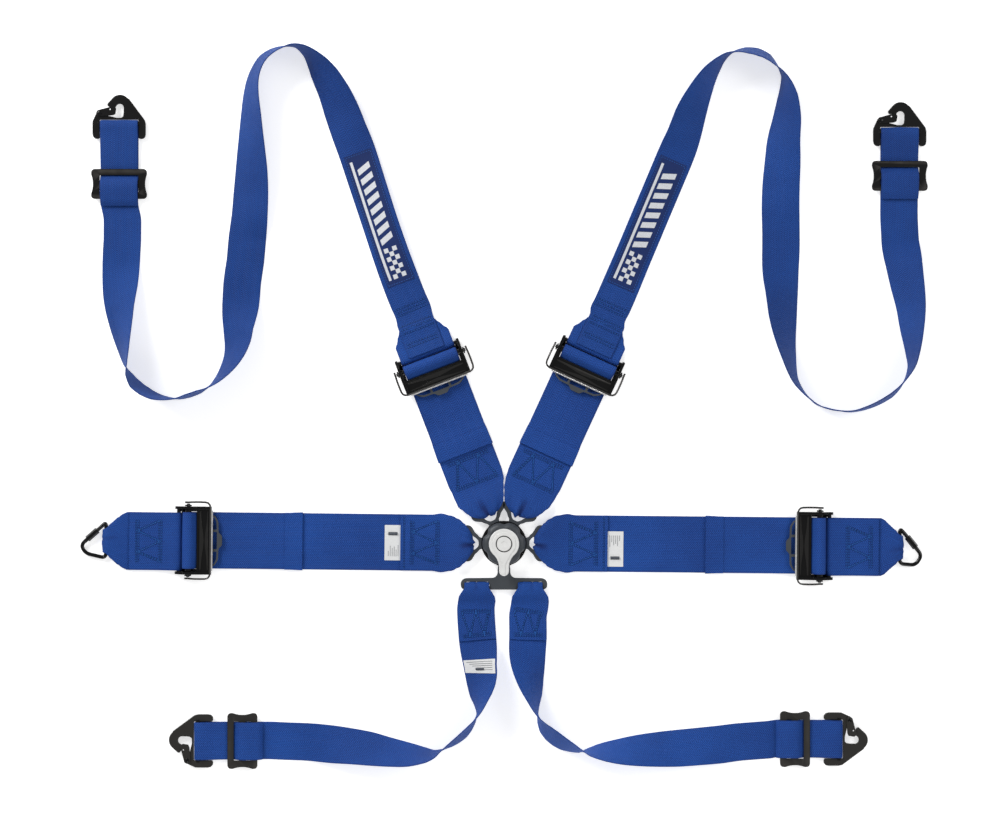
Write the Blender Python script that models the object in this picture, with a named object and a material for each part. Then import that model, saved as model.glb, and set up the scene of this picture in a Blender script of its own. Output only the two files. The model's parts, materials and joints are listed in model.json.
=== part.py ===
"""Six-point racing harness with a rotary buckle, laid out flat on a floor.

Run with: blender --background --python part.py

Units are metres.  The floor is z = 0, the buckle's axis is the z axis, the
shoulder straps run towards +Y, the lap straps along X and the crotch straps
towards -Y.  A strap's own frame has +Y outward along the strap, +X to the
right of that heading and +Z up.  Lengths in the tables below are millimetres.
"""
import math

import bmesh
import bpy
from mathutils import Matrix, Vector

MM = 0.001

# webbing
STATION_SPACING = 15.0  # between sections of webbing that lies free
LABEL_LENGTH = 183.0
LABEL_WIDTH = 38.0
LABEL_FROM = {"left": 346.0, "right": 338.0}  # floor Y where each label starts
TAG_THICKNESS = 0.5
CROTCH_TAG_WIDTH, LAP_TAG_WIDTH = 46.0, 47.0
LAP_TAG_SPAN = (139.5, 160.5)  # distances from the buckle's axis
LAP_TAG_MIDDLE = {"left": -0.5, "right": 7.0}
WIDE = 75.0  # lap and lower shoulder webbing, 3 inch
NARROW = 50.0  # upper shoulder and crotch webbing, 2 inch
PLY = 1.6  # thickness of one layer
PATCH_LIFT = PLY / 2 + 0.65  # middle of a label over the middle of its webbing
FLOOR_PLY = PLY / 2  # height of the middle of a layer that lies on the floor
SECOND_PLY = FLOOR_PLY + PLY + 0.5
THIRD_PLY = SECOND_PLY + PLY + 0.5

# buckle
HOUSING_R = 30.0
BASE_TOP = 2.0
HOUSING_LOW, HOUSING_HIGH = 2.3, 20.0
TONGUE_LOW, TONGUE_HIGH = 6.0, 8.5
SLOT_HALF_WIDTH = 8.1
LATCH_HOLE_AT = 18.0
LATCH_PIN_R = 2.3
LEVER_R, LEVER_LOW, LEVER_HIGH = 20.0, 20.4, 24.4
LEVER_REACH = 42.6
BADGE_R = 11.2
SHOULDER_ANGLES = {"left": 116.0, "right": 64.0}
LAP_ANGLES = {"left": 180.0, "right": 0.0}
CROTCH_ANGLE = 270.0
TONGUE_BAR_AT = 52.0
CROTCH_SLOT = (50.6, 57.0)  # near and far edge of the T-plate's webbing slots
CROTCH_BAR = (59.3, 7.25)  # middle of the bar beyond them: distance and height
CROTCH_LOOP_R = 4.0  # webbing's middle round that bar, clear of its corners
# width of the webbing as it gathers towards a tongue, 70, 60 and 52 from the axis
GATHER = {"shoulder": (66.0, 56.5, 48.0), "lap": (72.0, 63.0, 50.0)}

# strap adjusters, measured from the slide bar's axis
ROLL_HEIGHT = 10.5
ROLL_R = 7.2
CONNECTOR_BAR_AT, CONNECTOR_BAR_HEIGHT, CONNECTOR_BAR_R = 13.4, 5.0, 2.6
CHEEK_INNER, CHEEK_OUTER = 41.5, 44.0

# end hooks, measured from the ends of the ears
HOOK_BAR_AT, HOOK_HEIGHT, HOOK_BAR_R = 20.5, 5.4, 2.9
HOOK_LOW, HOOK_HIGH = 3.6, 7.2
GATE_PIVOT = (-25.5, 34.5)

SLIDER_LOW, SLIDER_HIGH = 5.2, 7.6
LINK_R, LINK_HEIGHT = 2.6, 5.0
LINK_AT = {"left": 110.0, "right": 107.0}  # where the webbing turns round it
# corners of each link: base, sleeve side, far end, base; both lean to the floor's -Y
LINK_CORNERS = {
    "left": [(23.0, 110.0), (16.0, 117.0), (-8.0, 143.5), (-19.0, 137.0),
             (-25.0, 110.0)],
    "right": [(-24.0, 107.0), (-18.5, 112.5), (11.5, 136.5), (24.5, 128.5),
              (23.0, 107.0)],
}
LINK_TIP_WIDTHS = (31.0, 30.0, 28.5, 27.0, 28.5, 30.0, 31.0)
SLEEVE_SHARE = 0.42  # how far along its side of the link the sleeve sits

# middles of the slide bars on the floor
ROLLS = {
    "shoulder_left": (-97.0, 240.5),
    "shoulder_right": (112.8, 242.4),
    "lap_left": (-419.6, 4.1),
    "lap_right": (419.6, -3.4),
}
# each hook's place and heading, then its slider and the webbing's tail
HOOKS = {
    "shoulder_left": ((-512.0, 537.6), 90.0, -59.6, -88.0),
    "shoulder_right": ((526.5, 527.9), 90.0, -39.2, -69.2),
    "crotch_left": ((-386.7, -263.0), 180.0, -38.7, -64.7),
    "crotch_right": ((425.0, -260.5), 0.0, -37.9, -62.5),
}

# the free-lying webbing: x, y and the roll of its width out of the floor
ROUTES = {
    "shoulder_left": [
        (-121, 308, 0), (-132, 334, 0), (-148, 377, 10), (-164, 424, 15),
        (-180, 473, 12), (-196, 522, 6), (-206, 548, 13), (-216, 575, 20),
        (-227, 601, 35), (-241.5, 626, 49), (-260, 649, 75), (-274, 657.5, 90),
        (-287, 659, 99), (-314, 648, 109), (-329, 626, 112), (-334.6, 600, 118),
        (-335.3, 573, 126), (-335.4, 546, 134), (-335.3, 520, 143),
        (-335.4, 491, 154), (-336.7, 462, 163), (-338.6, 433, 168),
        (-342, 405, 180), (-344.6, 376, 180), (-348.6, 348, 180),
        (-350.5, 319, 175), (-352.6, 289, 150), (-353.5, 271, 141),
        (-359, 248, 125), (-373, 225, 109), (-387, 211, 98), (-398, 204, 90),
        (-413, 198, 86.5), (-434, 192, 90), (-462, 195.4, 99),
        (-486, 210, 101.5), (-497, 227, 90), (-500, 235, 79),
        (-504.6, 264, 61), (-508, 292, 44), (-510.7, 320, 28),
        (-510.5, 348, 11), (-510, 376, 0), (-508.6, 405, 0), (-508.7, 433, 0),
    ],
    "shoulder_right": [
        (138, 303, 0), (149, 327, 0), (165.5, 366, -10), (181.5, 404, -12),
        (197.5, 442, -12), (213.5, 480, -12), (228.6, 516, -12),
        (239, 542, -24), (248, 570, -33), (259, 596, -48), (273, 622, -64),
        (289, 641, -81), (298, 647, -90), (315, 653, -105), (344, 648, -111),
        (363, 630, -100), (370, 618, -90), (374.6, 595, -67),
        (374.6, 564.5, -49), (371, 536, -37), (370, 507, -26),
        (368.5, 478, -17), (368, 449, -11), (369, 419.5, 0), (369, 391, 0),
        (368, 361, 11), (369, 332, 26), (370, 303, 36), (372.6, 274, 49),
        (378, 244, 63), (387, 214, 76), (409, 188, 86), (429, 179, 86.5),
        (452, 175.6, 90), (469, 177, 94.6), (496, 187, 99), (521, 204, 100.4),
        (538, 231, 90), (540.6, 258.5, 74.5), (540, 287, 60), (539, 315, 49),
        (535, 344, 37), (531, 373, 25), (528, 402, 0), (526.5, 431, 0),
    ],
    "crotch_left": [
        (-37.3, -85, 0), (-37.2, -97, 0), (-35.4, -124, 0), (-32, -160, -26),
        (-30.6, -179, -34), (-33.5, -206, -63), (-36, -227, -90),
        (-52, -251, -105), (-72, -267, -101.5), (-89, -276, -90),
        (-97, -279, -80), (-125, -279, -60), (-152, -276, -48),
        (-179, -272, -35), (-206, -269, -26), (-234, -267, -11),
        (-261, -265, 0), (-288, -264, 0), (-311, -263, 0),
    ],
    "crotch_right": [
        (34, -85, 0), (32, -96, 0), (32, -123, 0), (31.4, -150, 16),
        (35, -178, 42), (40, -201, 63), (45, -226, 90), (56.6, -247, 113),
        (77, -264, 116), (101, -274, 102), (109, -275, 90), (128, -275, 72),
        (153, -275, 56), (180, -274, 42), (207, -273, 31), (233.5, -272, 21),
        (260.5, -270, 16), (287, -268, 8), (314, -265, 0), (353, -262, 0),
    ],
}

COLOURS = {
    "webbing": ((0.018, 0.075, 0.36), 0.85, 0.0),
    "black steel": ((0.012, 0.012, 0.013), 0.35, 0.8),
    "dark alloy": ((0.035, 0.035, 0.037), 0.45, 0.7),
    "satin steel": ((0.62, 0.62, 0.63), 0.3, 1.0),
    "label": ((0.008, 0.016, 0.08), 0.8, 0.0),
    "tag": ((0.85, 0.85, 0.84), 0.8, 0.0),
}


def material(name):
    """The named finish as a Principled material, made once."""
    found = bpy.data.materials.get(name)
    if found:
        return found
    colour, roughness, metallic = COLOURS[name]
    made = bpy.data.materials.new(name)
    made.use_nodes = True
    shader = made.node_tree.nodes["Principled BSDF"]
    shader.inputs["Base Color"].default_value = (*colour, 1.0)
    shader.inputs["Roughness"].default_value = roughness
    shader.inputs["Metallic"].default_value = metallic
    return made


def add_object(name, bm, finish, place=None, cutter=False):
    """Turn a bmesh in millimetres into an object in metres at its place."""
    bmesh.ops.recalc_face_normals(bm, faces=bm.faces)
    bmesh.ops.scale(bm, vec=(MM, MM, MM), verts=bm.verts)
    mesh = bpy.data.meshes.new(name)
    bm.to_mesh(mesh)
    bm.free()
    mesh.shade_smooth()
    mesh.set_sharp_from_angle(angle=math.radians(35))
    thing = bpy.data.objects.new(name, mesh)
    mesh.materials.append(material(finish))
    bpy.context.collection.objects.link(thing)
    if place is not None:
        thing.matrix_world = place
    if cutter:
        thing.hide_render = True
        thing.display_type = "WIRE"
    return thing


def combine(thing, others, operation):
    """Add a Boolean modifier for each of the other solids."""
    for other in others:
        boolean = thing.modifiers.new(operation.title(), "BOOLEAN")
        boolean.operation = operation
        boolean.object = other
    return thing


def placed(point, heading, pivot=(0.0, 0.0)):
    """A strap fitting's frame: +Y along the heading, origin at the point."""
    turn = Matrix.Rotation(math.radians(heading - 90.0), 4, "Z")
    shift = Matrix.Translation(Vector((point[0], point[1], 0.0)) * MM)
    return shift @ turn @ Matrix.Translation(Vector((*pivot, 0.0)) * MM)


def ring_points(radius, count, centre=(0.0, 0.0), start=0.0, sweep=360.0):
    """Points on a circle or an arc; a full circle doesn't repeat its first."""
    steps = count if abs(sweep) >= 360.0 else count - 1
    angles = [math.radians(start + sweep * i / steps) for i in range(count)]
    return [
        (centre[0] + radius * math.cos(a), centre[1] + radius * math.sin(a))
        for a in angles
    ]


def slab(outlines, low, high):
    """A flat plate from an outer outline and the outlines of its holes."""
    bm = bmesh.new()
    edges = []
    for outline in outlines:
        verts = [bm.verts.new((x, y, low)) for x, y in outline]
        edges += [
            bm.edges.new((verts[i - 1], verts[i])) for i in range(len(verts))
        ]
    bmesh.ops.triangle_fill(bm, use_beauty=True, edges=edges)
    made = bmesh.ops.extrude_face_region(bm, geom=list(bm.faces))
    top = [v for v in made["geom"] if isinstance(v, bmesh.types.BMVert)]
    bmesh.ops.translate(bm, verts=top, vec=(0.0, 0.0, high - low))
    return bm


def block(low, high):
    """A box between two corners."""
    (x0, y0, z0), (x1, y1, z1) = low, high
    return slab([[(x0, y0), (x1, y0), (x1, y1), (x0, y1)]], z0, z1)


def turned(profile, sides):
    """A solid turned about z from (radius, height) points, closed at both ends."""
    bm = bmesh.new()
    rings = []
    for radius, height in profile:
        points = ring_points(radius, sides)
        rings.append([bm.verts.new((x, y, height)) for x, y in points])
    for below, above in zip(rings, rings[1:]):
        for i in range(sides):
            bm.faces.new((below[i - 1], below[i], above[i], above[i - 1]))
    bm.faces.new(rings[0])
    bm.faces.new(rings[-1])
    return bm


def rod(points, radius, sides=8, closed=False):
    """A round wire along a path, as an open rod or a closed ring."""
    path = [Vector(p) for p in points]
    count = len(path)
    bm = bmesh.new()
    rings = []
    side = None
    for i, point in enumerate(path):
        before = path[i - 1] if closed or i else point
        after = path[(i + 1) % count] if closed or i < count - 1 else point
        along = (after - before).normalized()
        if side is None:
            helper = Vector((0, 0, 1)) if abs(along.z) < 0.9 else Vector((1, 0, 0))
            side = along.cross(helper)
        side = (side - along * side.dot(along)).normalized()
        other = along.cross(side)
        rings.append([
            bm.verts.new(point + side * x + other * y)
            for x, y in ring_points(radius, sides)
        ])
    pairs = list(zip(rings, rings[1:]))
    if closed:
        pairs.append((rings[-1], rings[0]))
    for one, two in pairs:
        for i in range(sides):
            bm.faces.new((one[i - 1], one[i], two[i], two[i - 1]))
    if not closed:
        bm.faces.new(rings[0])
        bm.faces.new(rings[-1])
    return bm


def rounded(corners, radius, steps=4):
    """Replace each corner of a closed outline, flat or in space, with an arc."""
    points = [Vector(c) for c in corners]
    out = []
    for i, corner in enumerate(points):
        before = (points[i - 1] - corner).normalized()
        after = (points[(i + 1) % len(points)] - corner).normalized()
        start, end = corner + before * radius, corner + after * radius
        for k in range(steps + 1):
            t = k / steps
            out.append(
                start * (1 - t) ** 2 + corner * 2 * t * (1 - t) + end * t * t
            )
    return [tuple(p) for p in out]


def smooth(points, spacing):
    """Points at an even spacing on a Catmull-Rom curve through the given ones."""
    points = [Vector(p) for p in points]
    ends = [points[0] * 2 - points[1], *points, points[-1] * 2 - points[-2]]
    dense = []
    for a, b, c, d in zip(ends, ends[1:], ends[2:], ends[3:]):
        for k in range(12):
            t = k / 12
            dense.append(
                (b * 2 + (c - a) * t + (a * 2 - b * 5 + c * 4 - d) * t * t
                 + (b * 3 - a - c * 3 + d) * t ** 3) * 0.5
            )
    dense.append(points[-1])
    lengths = [0.0]
    for one, two in zip(dense, dense[1:]):
        lengths.append(lengths[-1] + (two.xy - one.xy).length)
    count = round(lengths[-1] / spacing)
    out, i = [], 0
    for k in range(count + 1):
        want = lengths[-1] * k / count
        while i < len(dense) - 2 and lengths[i + 1] < want:
            i += 1
        t = (want - lengths[i]) / max(lengths[i + 1] - lengths[i], 1e-9)
        out.append(dense[i].lerp(dense[i + 1], min(t, 1.0)))
    return out


class Station:
    """One cross-section of webbing: its middle, its width vector and width."""

    def __init__(self, point, across, width):
        self.point = Vector(point)
        self.across = Vector(across).normalized()
        self.width = width


def route_stations(route, width, spacing=STATION_SPACING):
    """Stations along webbing that lies free on the floor, rolled on its edge."""
    samples = smooth(route, spacing)
    stations = []
    for i, sample in enumerate(samples):
        before = samples[max(i - 1, 0)]
        after = samples[min(i + 1, len(samples) - 1)]
        along = (after - before).xy.normalized()
        roll = math.radians(sample.z)
        right = Vector((along.y, -along.x, 0.0))
        across = right * math.cos(roll) + Vector((0, 0, 1)) * math.sin(roll)
        height = width / 2 * abs(math.sin(roll)) + PLY / 2 * abs(math.cos(roll))
        stations.append(Station((sample.x, sample.y, height), across, width))
    return stations


def fitting_stations(place, profile, width, shift=0.0):
    """Stations from (distance, height[, width]) points in a fitting's frame."""
    turn = place.to_3x3()
    out = []
    for entry in profile:
        distance, height = entry[:2]
        point = place @ (Vector((shift, distance, height)) * MM) / MM
        across = turn @ Vector((1, 0, 0))
        out.append(Station(point, across, entry[2] if len(entry) > 2 else width))
    return out


def normals(stations):
    """The webbing's face normal at each station, lengthened at sharp folds."""
    out = []
    last = len(stations) - 1
    for i, station in enumerate(stations):
        sides = []
        for one, two in ((i - 1, i), (i, i + 1)):
            if one >= 0 and two <= last:
                step = stations[two].point - stations[one].point
                sides.append(station.across.cross(step).normalized())
        middle = sum(sides, Vector()).normalized()
        out.append(middle / max(middle.dot(sides[0]), 0.6))
    return out


def offset(stations, distance):
    """The same stations moved along the webbing's face normal."""
    return [
        Station(s.point + n * distance, s.across, s.width)
        for s, n in zip(stations, normals(stations))
    ]


def resized(stations, width):
    """The same stations with another width."""
    return [Station(s.point, s.across, width) for s in stations]


def ribbon(name, stations, finish, thickness=PLY):
    """One closed strip of webbing swept through its stations."""
    bm = bmesh.new()
    rings = []
    for station, normal in zip(stations, normals(stations)):
        half = station.across * (station.width / 2)
        lift = normal * (thickness / 2)
        corners = (-half - lift, half - lift, half + lift, -half + lift)
        rings.append([bm.verts.new(station.point + c) for c in corners])
    for one, two in zip(rings, rings[1:]):
        for i in range(4):
            a, b, c, d = one[i - 1], one[i], two[i], two[i - 1]
            # both faces of the webbing split along the same diagonal
            halves = ((a, b, d), (b, c, d)) if i == 3 else ((a, b, c), (a, c, d))
            for half in halves:
                bm.faces.new(half)
    bm.faces.new(rings[0])
    bm.faces.new(rings[-1])
    return add_object(name, bm, finish)


def arc_profile(centre, radius, start, sweep, count):
    """(distance, height) points on an arc round a bar."""
    return ring_points(radius, count, centre, start, sweep)


# ---------------------------------------------------------------- buckle


def build_buckle():
    """Base plate, housing, lever, spindle, spring, latch plate and badge."""
    plate = turned([(27.0, 0.0), (28.0, 0.6), (28.0, BASE_TOP)], 40)
    add_object("buckle_base_plate", plate, "black steel")

    shell = turned(
        [(29.0, HOUSING_LOW), (HOUSING_R, 3.4), (HOUSING_R, 15.0),
         (27.0, HOUSING_HIGH)], 48)
    housing = add_object("buckle_housing", shell, "dark alloy")
    cutters = [
        add_object("cut_bore", turned([(12.0, 1.0), (12.0, 13.0)], 28),
                   "dark alloy", cutter=True),
        add_object("cut_chamber", turned([(22.5, 10.6), (22.5, 22.0)], 36),
                   "dark alloy", cutter=True),
    ]
    for number, angle in enumerate(strap_angles()):
        place = placed((0, 0), angle)
        hole = turned([(LATCH_PIN_R + 0.5, 8.0), (LATCH_PIN_R + 0.5, 11.5)], 12)
        bmesh.ops.translate(hole, verts=hole.verts, vec=(0, LATCH_HOLE_AT, 0))
        slot = block((-SLOT_HALF_WIDTH, 4.0, TONGUE_LOW - 0.6),
                     (SLOT_HALF_WIDTH, 34.0, TONGUE_HIGH + 0.6))
        cutters.append(add_object(f"cut_pin_{number}", hole, "dark alloy",
                                  place, cutter=True))
        cutters.append(add_object(f"cut_slot_{number}", slot, "dark alloy",
                                  place, cutter=True))
    combine(housing, cutters, "DIFFERENCE")

    disc = slab([ring_points(21.6, 32), ring_points(4.0, 14)], 11.0, 12.6)
    latch = add_object("latch_pin_plate", disc, "satin steel")
    pins = []
    for number, angle in enumerate(strap_angles()):
        pin = turned([(LATCH_PIN_R, TONGUE_HIGH + 0.4), (LATCH_PIN_R, 12.0)], 10)
        bmesh.ops.translate(pin, verts=pin.verts, vec=(0, LATCH_HOLE_AT, 0))
        pins.append(add_object(f"guide_pin_{number}", pin, "satin steel",
                               placed((0, 0), angle), cutter=True))
    combine(latch, pins, "UNION")

    spindle = turned(
        [(3.0, 2.3), (3.0, 9.4), (10.0, 9.4), (10.0, 10.5), (3.0, 10.5),
         (3.0, 19.0), (6.0, 19.4), (6.0, 20.3)], 20)
    add_object("lever_spindle", spindle, "satin steel")

    turns, per_turn = 3, 12
    coil = [
        (*ring_points(9.0, 1, start=360.0 * i / per_turn)[0],
         15.5 + 1.15 * i / per_turn)
        for i in range(turns * per_turn + 1)
    ]
    add_object("lever_return_spring", rod(coil, 0.45, 5), "satin steel")

    neck = math.degrees(math.asin(5.6 / LEVER_R))
    round_part = ring_points(LEVER_R, 34, start=-90 + neck, sweep=360 - 2 * neck)
    handle = [(-5.0, -25.0), (-6.8, -35.0),
              *ring_points(6.8, 7, (0, -LEVER_REACH + 6.8), 180, 180),
              (6.8, -35.0), (5.0, -25.0)]
    lever = slab([round_part + handle, ring_points(BADGE_R + 0.4, 28)],
                 LEVER_LOW, LEVER_HIGH)
    add_object("release_lever", lever, "satin steel")
    badge = turned([(BADGE_R, LEVER_LOW + 0.3), (BADGE_R, LEVER_HIGH + 0.2),
                    (BADGE_R - 0.6, LEVER_HIGH + 0.6)], 28)
    add_object("lever_badge", badge, "dark alloy")


def strap_angles():
    """The five directions in which tongues enter the housing."""
    return [*SHOULDER_ANGLES.values(), *LAP_ANGLES.values(), CROTCH_ANGLE]


def tongue_head():
    """Half of the outline of a tongue's head, from its tip to its neck."""
    return [(4.2, 11.0), (6.0, 14.5), (7.5, 20.0), (7.5, 30.5)]


def build_tongue(name, angle):
    """A strap tongue: latch head, two arms and the bar for the webbing."""
    half = [*tongue_head(), (9.5, 33.0), (21.7, 46.5), (23.0, 49.0),
            (23.0, 53.0), (21.5, 54.5)]
    outline = half + [(-x, y) for x, y in reversed(half)]
    window = [(-3.5, 34.6), (3.5, 34.6), (16.1, 48.5), (15.1, 49.5),
              (-15.1, 49.5), (-16.1, 48.5)]
    hole = ring_points(LATCH_PIN_R + 0.5, 14, (0, LATCH_HOLE_AT))
    bm = slab([outline, window, hole], TONGUE_LOW, TONGUE_HIGH)
    add_object(name, bm, "dark alloy", placed((0, 0), angle))


def build_crotch_plate():
    """The T-shaped tongue that carries both crotch straps."""
    half = [*tongue_head(), (8.5, 33.0), (8.5, 41.0), (10.4, 44.2),
            (14.6, 45.9), (51.0, 46.2), (55.6, 48.4), (57.5, 53.0),
            (56.4, 59.0), (52.0, 61.6)]
    outline = half + [(-x, y) for x, y in reversed(half)]
    slots = [
        rounded([(s * 15.6, CROTCH_SLOT[0]), (s * 54.4, CROTCH_SLOT[0]),
                 (s * 54.4, CROTCH_SLOT[1]), (s * 15.6, CROTCH_SLOT[1])], 1.5, 2)
        for s in (-1, 1)
    ]
    hole = ring_points(LATCH_PIN_R + 0.5, 14, (0, LATCH_HOLE_AT))
    bm = slab([outline, *slots, hole], TONGUE_LOW, TONGUE_HIGH)
    add_object("crotch_tongue_plate", bm, "dark alloy",
               placed((0, 0), CROTCH_ANGLE))


# ---------------------------------------------------- lap and shoulder straps


def tongue_bar(angle):
    """Where the middle of a tongue's bar lies on the floor plan."""
    a = math.radians(angle)
    return Vector((math.cos(a), math.sin(a))) * TONGUE_BAR_AT


def strap_frame(kind, side):
    """The fitting frame at the slide bar and its distance from the tongue bar."""
    angle = (SHOULDER_ANGLES if kind == "shoulder" else LAP_ANGLES)[side]
    point = ROLLS[f"{kind}_{side}"]
    run = Vector(point) - tongue_bar(angle)
    heading = math.degrees(math.atan2(run.y, run.x))
    return placed(point, heading), run.length, angle


def build_main_strap(kind, side, fold_at, hem_at):
    """Wide webbing: round the tongue bar, out, round the slide bar and back."""
    place, run, angle = strap_frame(kind, side)
    tongue = placed((0, 0), angle)
    lift = THIRD_PLY if fold_at > hem_at else SECOND_PLY
    start = -run - TONGUE_BAR_AT  # the buckle's axis in the slide bar's frame
    far, near, bar = GATHER[kind]
    folded = fitting_stations(place, [
        (start + fold_at, SECOND_PLY), (start + 96, SECOND_PLY),
        (start + 84, SECOND_PLY + 0.6, far + 5)], WIDE)
    loop = fitting_stations(tongue, [
        (70, 7.6, far), (60, 9.7, near), (52, 9.9, bar), (47.5, 9.9, 38),
        (45.2, 9.7, 24), (44.0, 7.25, 19), (45.2, 4.8, 24), (47.5, 4.6, 38),
        (52, 4.6, bar), (60, 4.6, near), (70, 3.2, far)], WIDE)
    ties = max(hem_at, fold_at) + 8
    roll = arc_profile((0, ROLL_HEIGHT), ROLL_R, -78, 215, 10)
    out = fitting_stations(place, [
        (start + 84, 1.2, far + 5), (start + 96, FLOOR_PLY), (start + fold_at, FLOOR_PLY),
        (start + hem_at + 12, FLOOR_PLY), (-60, FLOOR_PLY), (-24, FLOOR_PLY),
        (-12, 1.4), *roll, (-10.2, 9.4), (-14.5, 6.4), (-22, 5.0), (-30, 4.6),
        (-46, 3.9), (-58, SECOND_PLY)], WIDE)
    tail = [(start + ties + 6, SECOND_PLY)]
    tail += [(start + ties, lift), (start + hem_at, lift)]
    out += fitting_stations(place, tail, WIDE)
    ribbon(f"{kind}_strap_{side}", folded + loop + out, "webbing")


def build_adjuster(prefix, place):
    """Frame with cheeks, lip, cross bar and connector bar, slide bar and bail."""
    name = f"{prefix}_adjuster_frame"
    cheek = [(-31, 7.0), (-31, 12.0), (-14, 15.6), (-6, 17.0), (7, 17.0),
             (17.6, 9.6), (18.4, 6.0), (17.0, 1.4), (10, 1.0), (-8, 3.0),
             (-24, 5.4)]
    slot = rounded([(-4.3, 7.8), (2.8, 7.8), (2.8, 13.2), (-4.3, 13.2)], 1.8, 2)
    solids = []
    for x in (-CHEEK_OUTER, CHEEK_INNER):
        bm = slab([cheek, slot], 0.0, CHEEK_OUTER - CHEEK_INNER)
        upright = Matrix(((0, 0, 1, x), (1, 0, 0, 0), (0, 1, 0, 0), (0, 0, 0, 1)))
        bmesh.ops.transform(bm, matrix=upright, verts=bm.verts)
        solids.append(bm)
    reach = CHEEK_INNER + 1.0
    solids.append(block((-reach, -28.6, 7.6), (reach, -22.6, 11.2)))
    lip = [(-33, -28), (-33, -37), (-24, -39.6), (-12, -40), (-7, -45.6),
           (7, -45.6), (12, -40), (24, -39.6), (33, -37), (33, -28)]
    solids.append(slab([lip], 8.4, 10.4))
    solids.append(rod([(-reach, CONNECTOR_BAR_AT, CONNECTOR_BAR_HEIGHT),
                       (reach, CONNECTOR_BAR_AT, CONNECTOR_BAR_HEIGHT)],
                      CONNECTOR_BAR_R, 12))
    frame = add_object(name, solids[0], "black steel", place)
    others = [
        add_object(f"{name}_piece_{i}", bm, "black steel", place, cutter=True)
        for i, bm in enumerate(solids[1:])
    ]
    combine(frame, others, "UNION")

    half = [(4.2, 0.0), (4.2, 41.0), (2.3, 41.0), (2.3, 45.0), (4.4, 45.0),
            (4.4, 48.4)]
    profile = [(r, -x) for r, x in reversed(half)][:-1] + half[1:]
    bar = turned(profile, 12)
    lay = Matrix(((0, 0, 1, 0), (1, 0, 0, 0), (0, 1, 0, ROLL_HEIGHT), (0, 0, 0, 1)))
    bmesh.ops.transform(bar, matrix=lay, verts=bar.verts)
    add_object(f"{prefix}_slide_bar", bar, "black steel", place)

    side, front = 50.4, -31.2
    arms = [(-side, 5.0, ROLL_HEIGHT), (-side, -10, ROLL_HEIGHT + 1.5),
            (-side, -27.0, 13.0), (-side + 1.2, front + 1.2, 13.2),
            (-side + 4.2, front, 13.4)]
    path = arms + [(-x, y, z) for x, y, z in reversed(arms)]
    add_object(f"{prefix}_adjuster_spring", rod(path, 1.2, 6), "black steel", place)


def build_connector(side, place):
    """Short wide webbing round the adjuster's bar, sewn under the upper strap."""
    bar = (CONNECTOR_BAR_AT, CONNECTOR_BAR_HEIGHT)
    loop = arc_profile(bar, CONNECTOR_BAR_R + 0.4 + PLY / 2, 90, 180, 7)
    profile = [(53, SECOND_PLY, 51), (42, SECOND_PLY + 0.2, 64),
               (34, 3.9, WIDE), (24, 6.6, WIDE), *loop, (24, FLOOR_PLY + 0.1),
               (34, FLOOR_PLY, WIDE), (42, FLOOR_PLY, 64), (53, FLOOR_PLY, 51)]
    stations = fitting_stations(place, profile, WIDE)
    ribbon(f"shoulder_connector_webbing_{side}", stations, "webbing")


def hook_end(key):
    """Webbing under the slider, round the hook's bar and back over the slider."""
    point, heading, slider, tail = HOOKS[key]
    place = placed(point, heading)
    loop = arc_profile((HOOK_BAR_AT, HOOK_HEIGHT), HOOK_BAR_R + 0.6 + PLY / 2,
                       -90, 180, 8)
    middle = (SLIDER_LOW + SLIDER_HIGH) / 2
    low, high = middle - 2.7, middle + 2.7
    profile = [
        (tail, FLOOR_PLY), (slider, FLOOR_PLY), (slider + 24, FLOOR_PLY),
        (8, FLOOR_PLY + 0.1), *loop, (8, 8.6), (slider + 30, 5.0),
        (slider + 22, low), (slider + 10.7, low), (slider + 5.0, high),
        (slider - 18, high), (slider - 22, high - 1.0), (tail, SECOND_PLY + 1.2),
    ]
    return fitting_stations(place, profile, NARROW)


def build_upper_strap(side, place):
    """Narrow webbing from the connector, along its loop, to the hook."""
    key = f"shoulder_{side}"
    start = fitting_stations(place, [
        (15, 10.8), (24, 8.8), (34, 6.3), (44, 5.0), (53, THIRD_PLY),
        (59, 2.6)], NARROW)
    route = route_stations(ROUTES[key], NARROW)
    ribbon(f"shoulder_upper_strap_{side}", start + route + hook_end(key), "webbing")
    first = next(i for i, s in enumerate(route) if s.point.y > LABEL_FROM[side])
    length = round(LABEL_LENGTH / STATION_SPACING) + 1
    patch = resized(offset(route[first:first + length], PATCH_LIFT), LABEL_WIDTH)
    ribbon(f"shoulder_label_{side}", patch, "label", TAG_THICKNESS)


def build_lap_anchor(side, place):
    """Wide webbing between the adjuster's bar and the quick link."""
    bar = (CONNECTOR_BAR_AT, CONNECTOR_BAR_HEIGHT)
    inner = arc_profile(bar, CONNECTOR_BAR_R + 0.4 + PLY / 2, 90, 180, 7)
    at = LINK_AT[side]
    outer = arc_profile((at, LINK_HEIGHT), LINK_R + 0.4 + PLY / 2, -90, 180, 7)
    outer = [(*p, width) for p, width in zip(outer, LINK_TIP_WIDTHS)]
    profile = [(79, THIRD_PLY, 77), (36, THIRD_PLY), (26, 6.8), *inner,
               (26, FLOOR_PLY + 0.1), (80, FLOOR_PLY, 77), (87, FLOOR_PLY, 73),
               (at - 12, 0.9, 48), *outer, (at - 8, 7.8, 39), (at - 15, 6.2, 56),
               (87, 4.0, 73), (81, 2.9, 77), (46, SECOND_PLY)]
    shift = {"left": -2.0, "right": 1.0}[side]
    stations = fitting_stations(place, profile, 77.0, shift)
    ribbon(f"lap_anchor_webbing_{side}", stations, "webbing")


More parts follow.
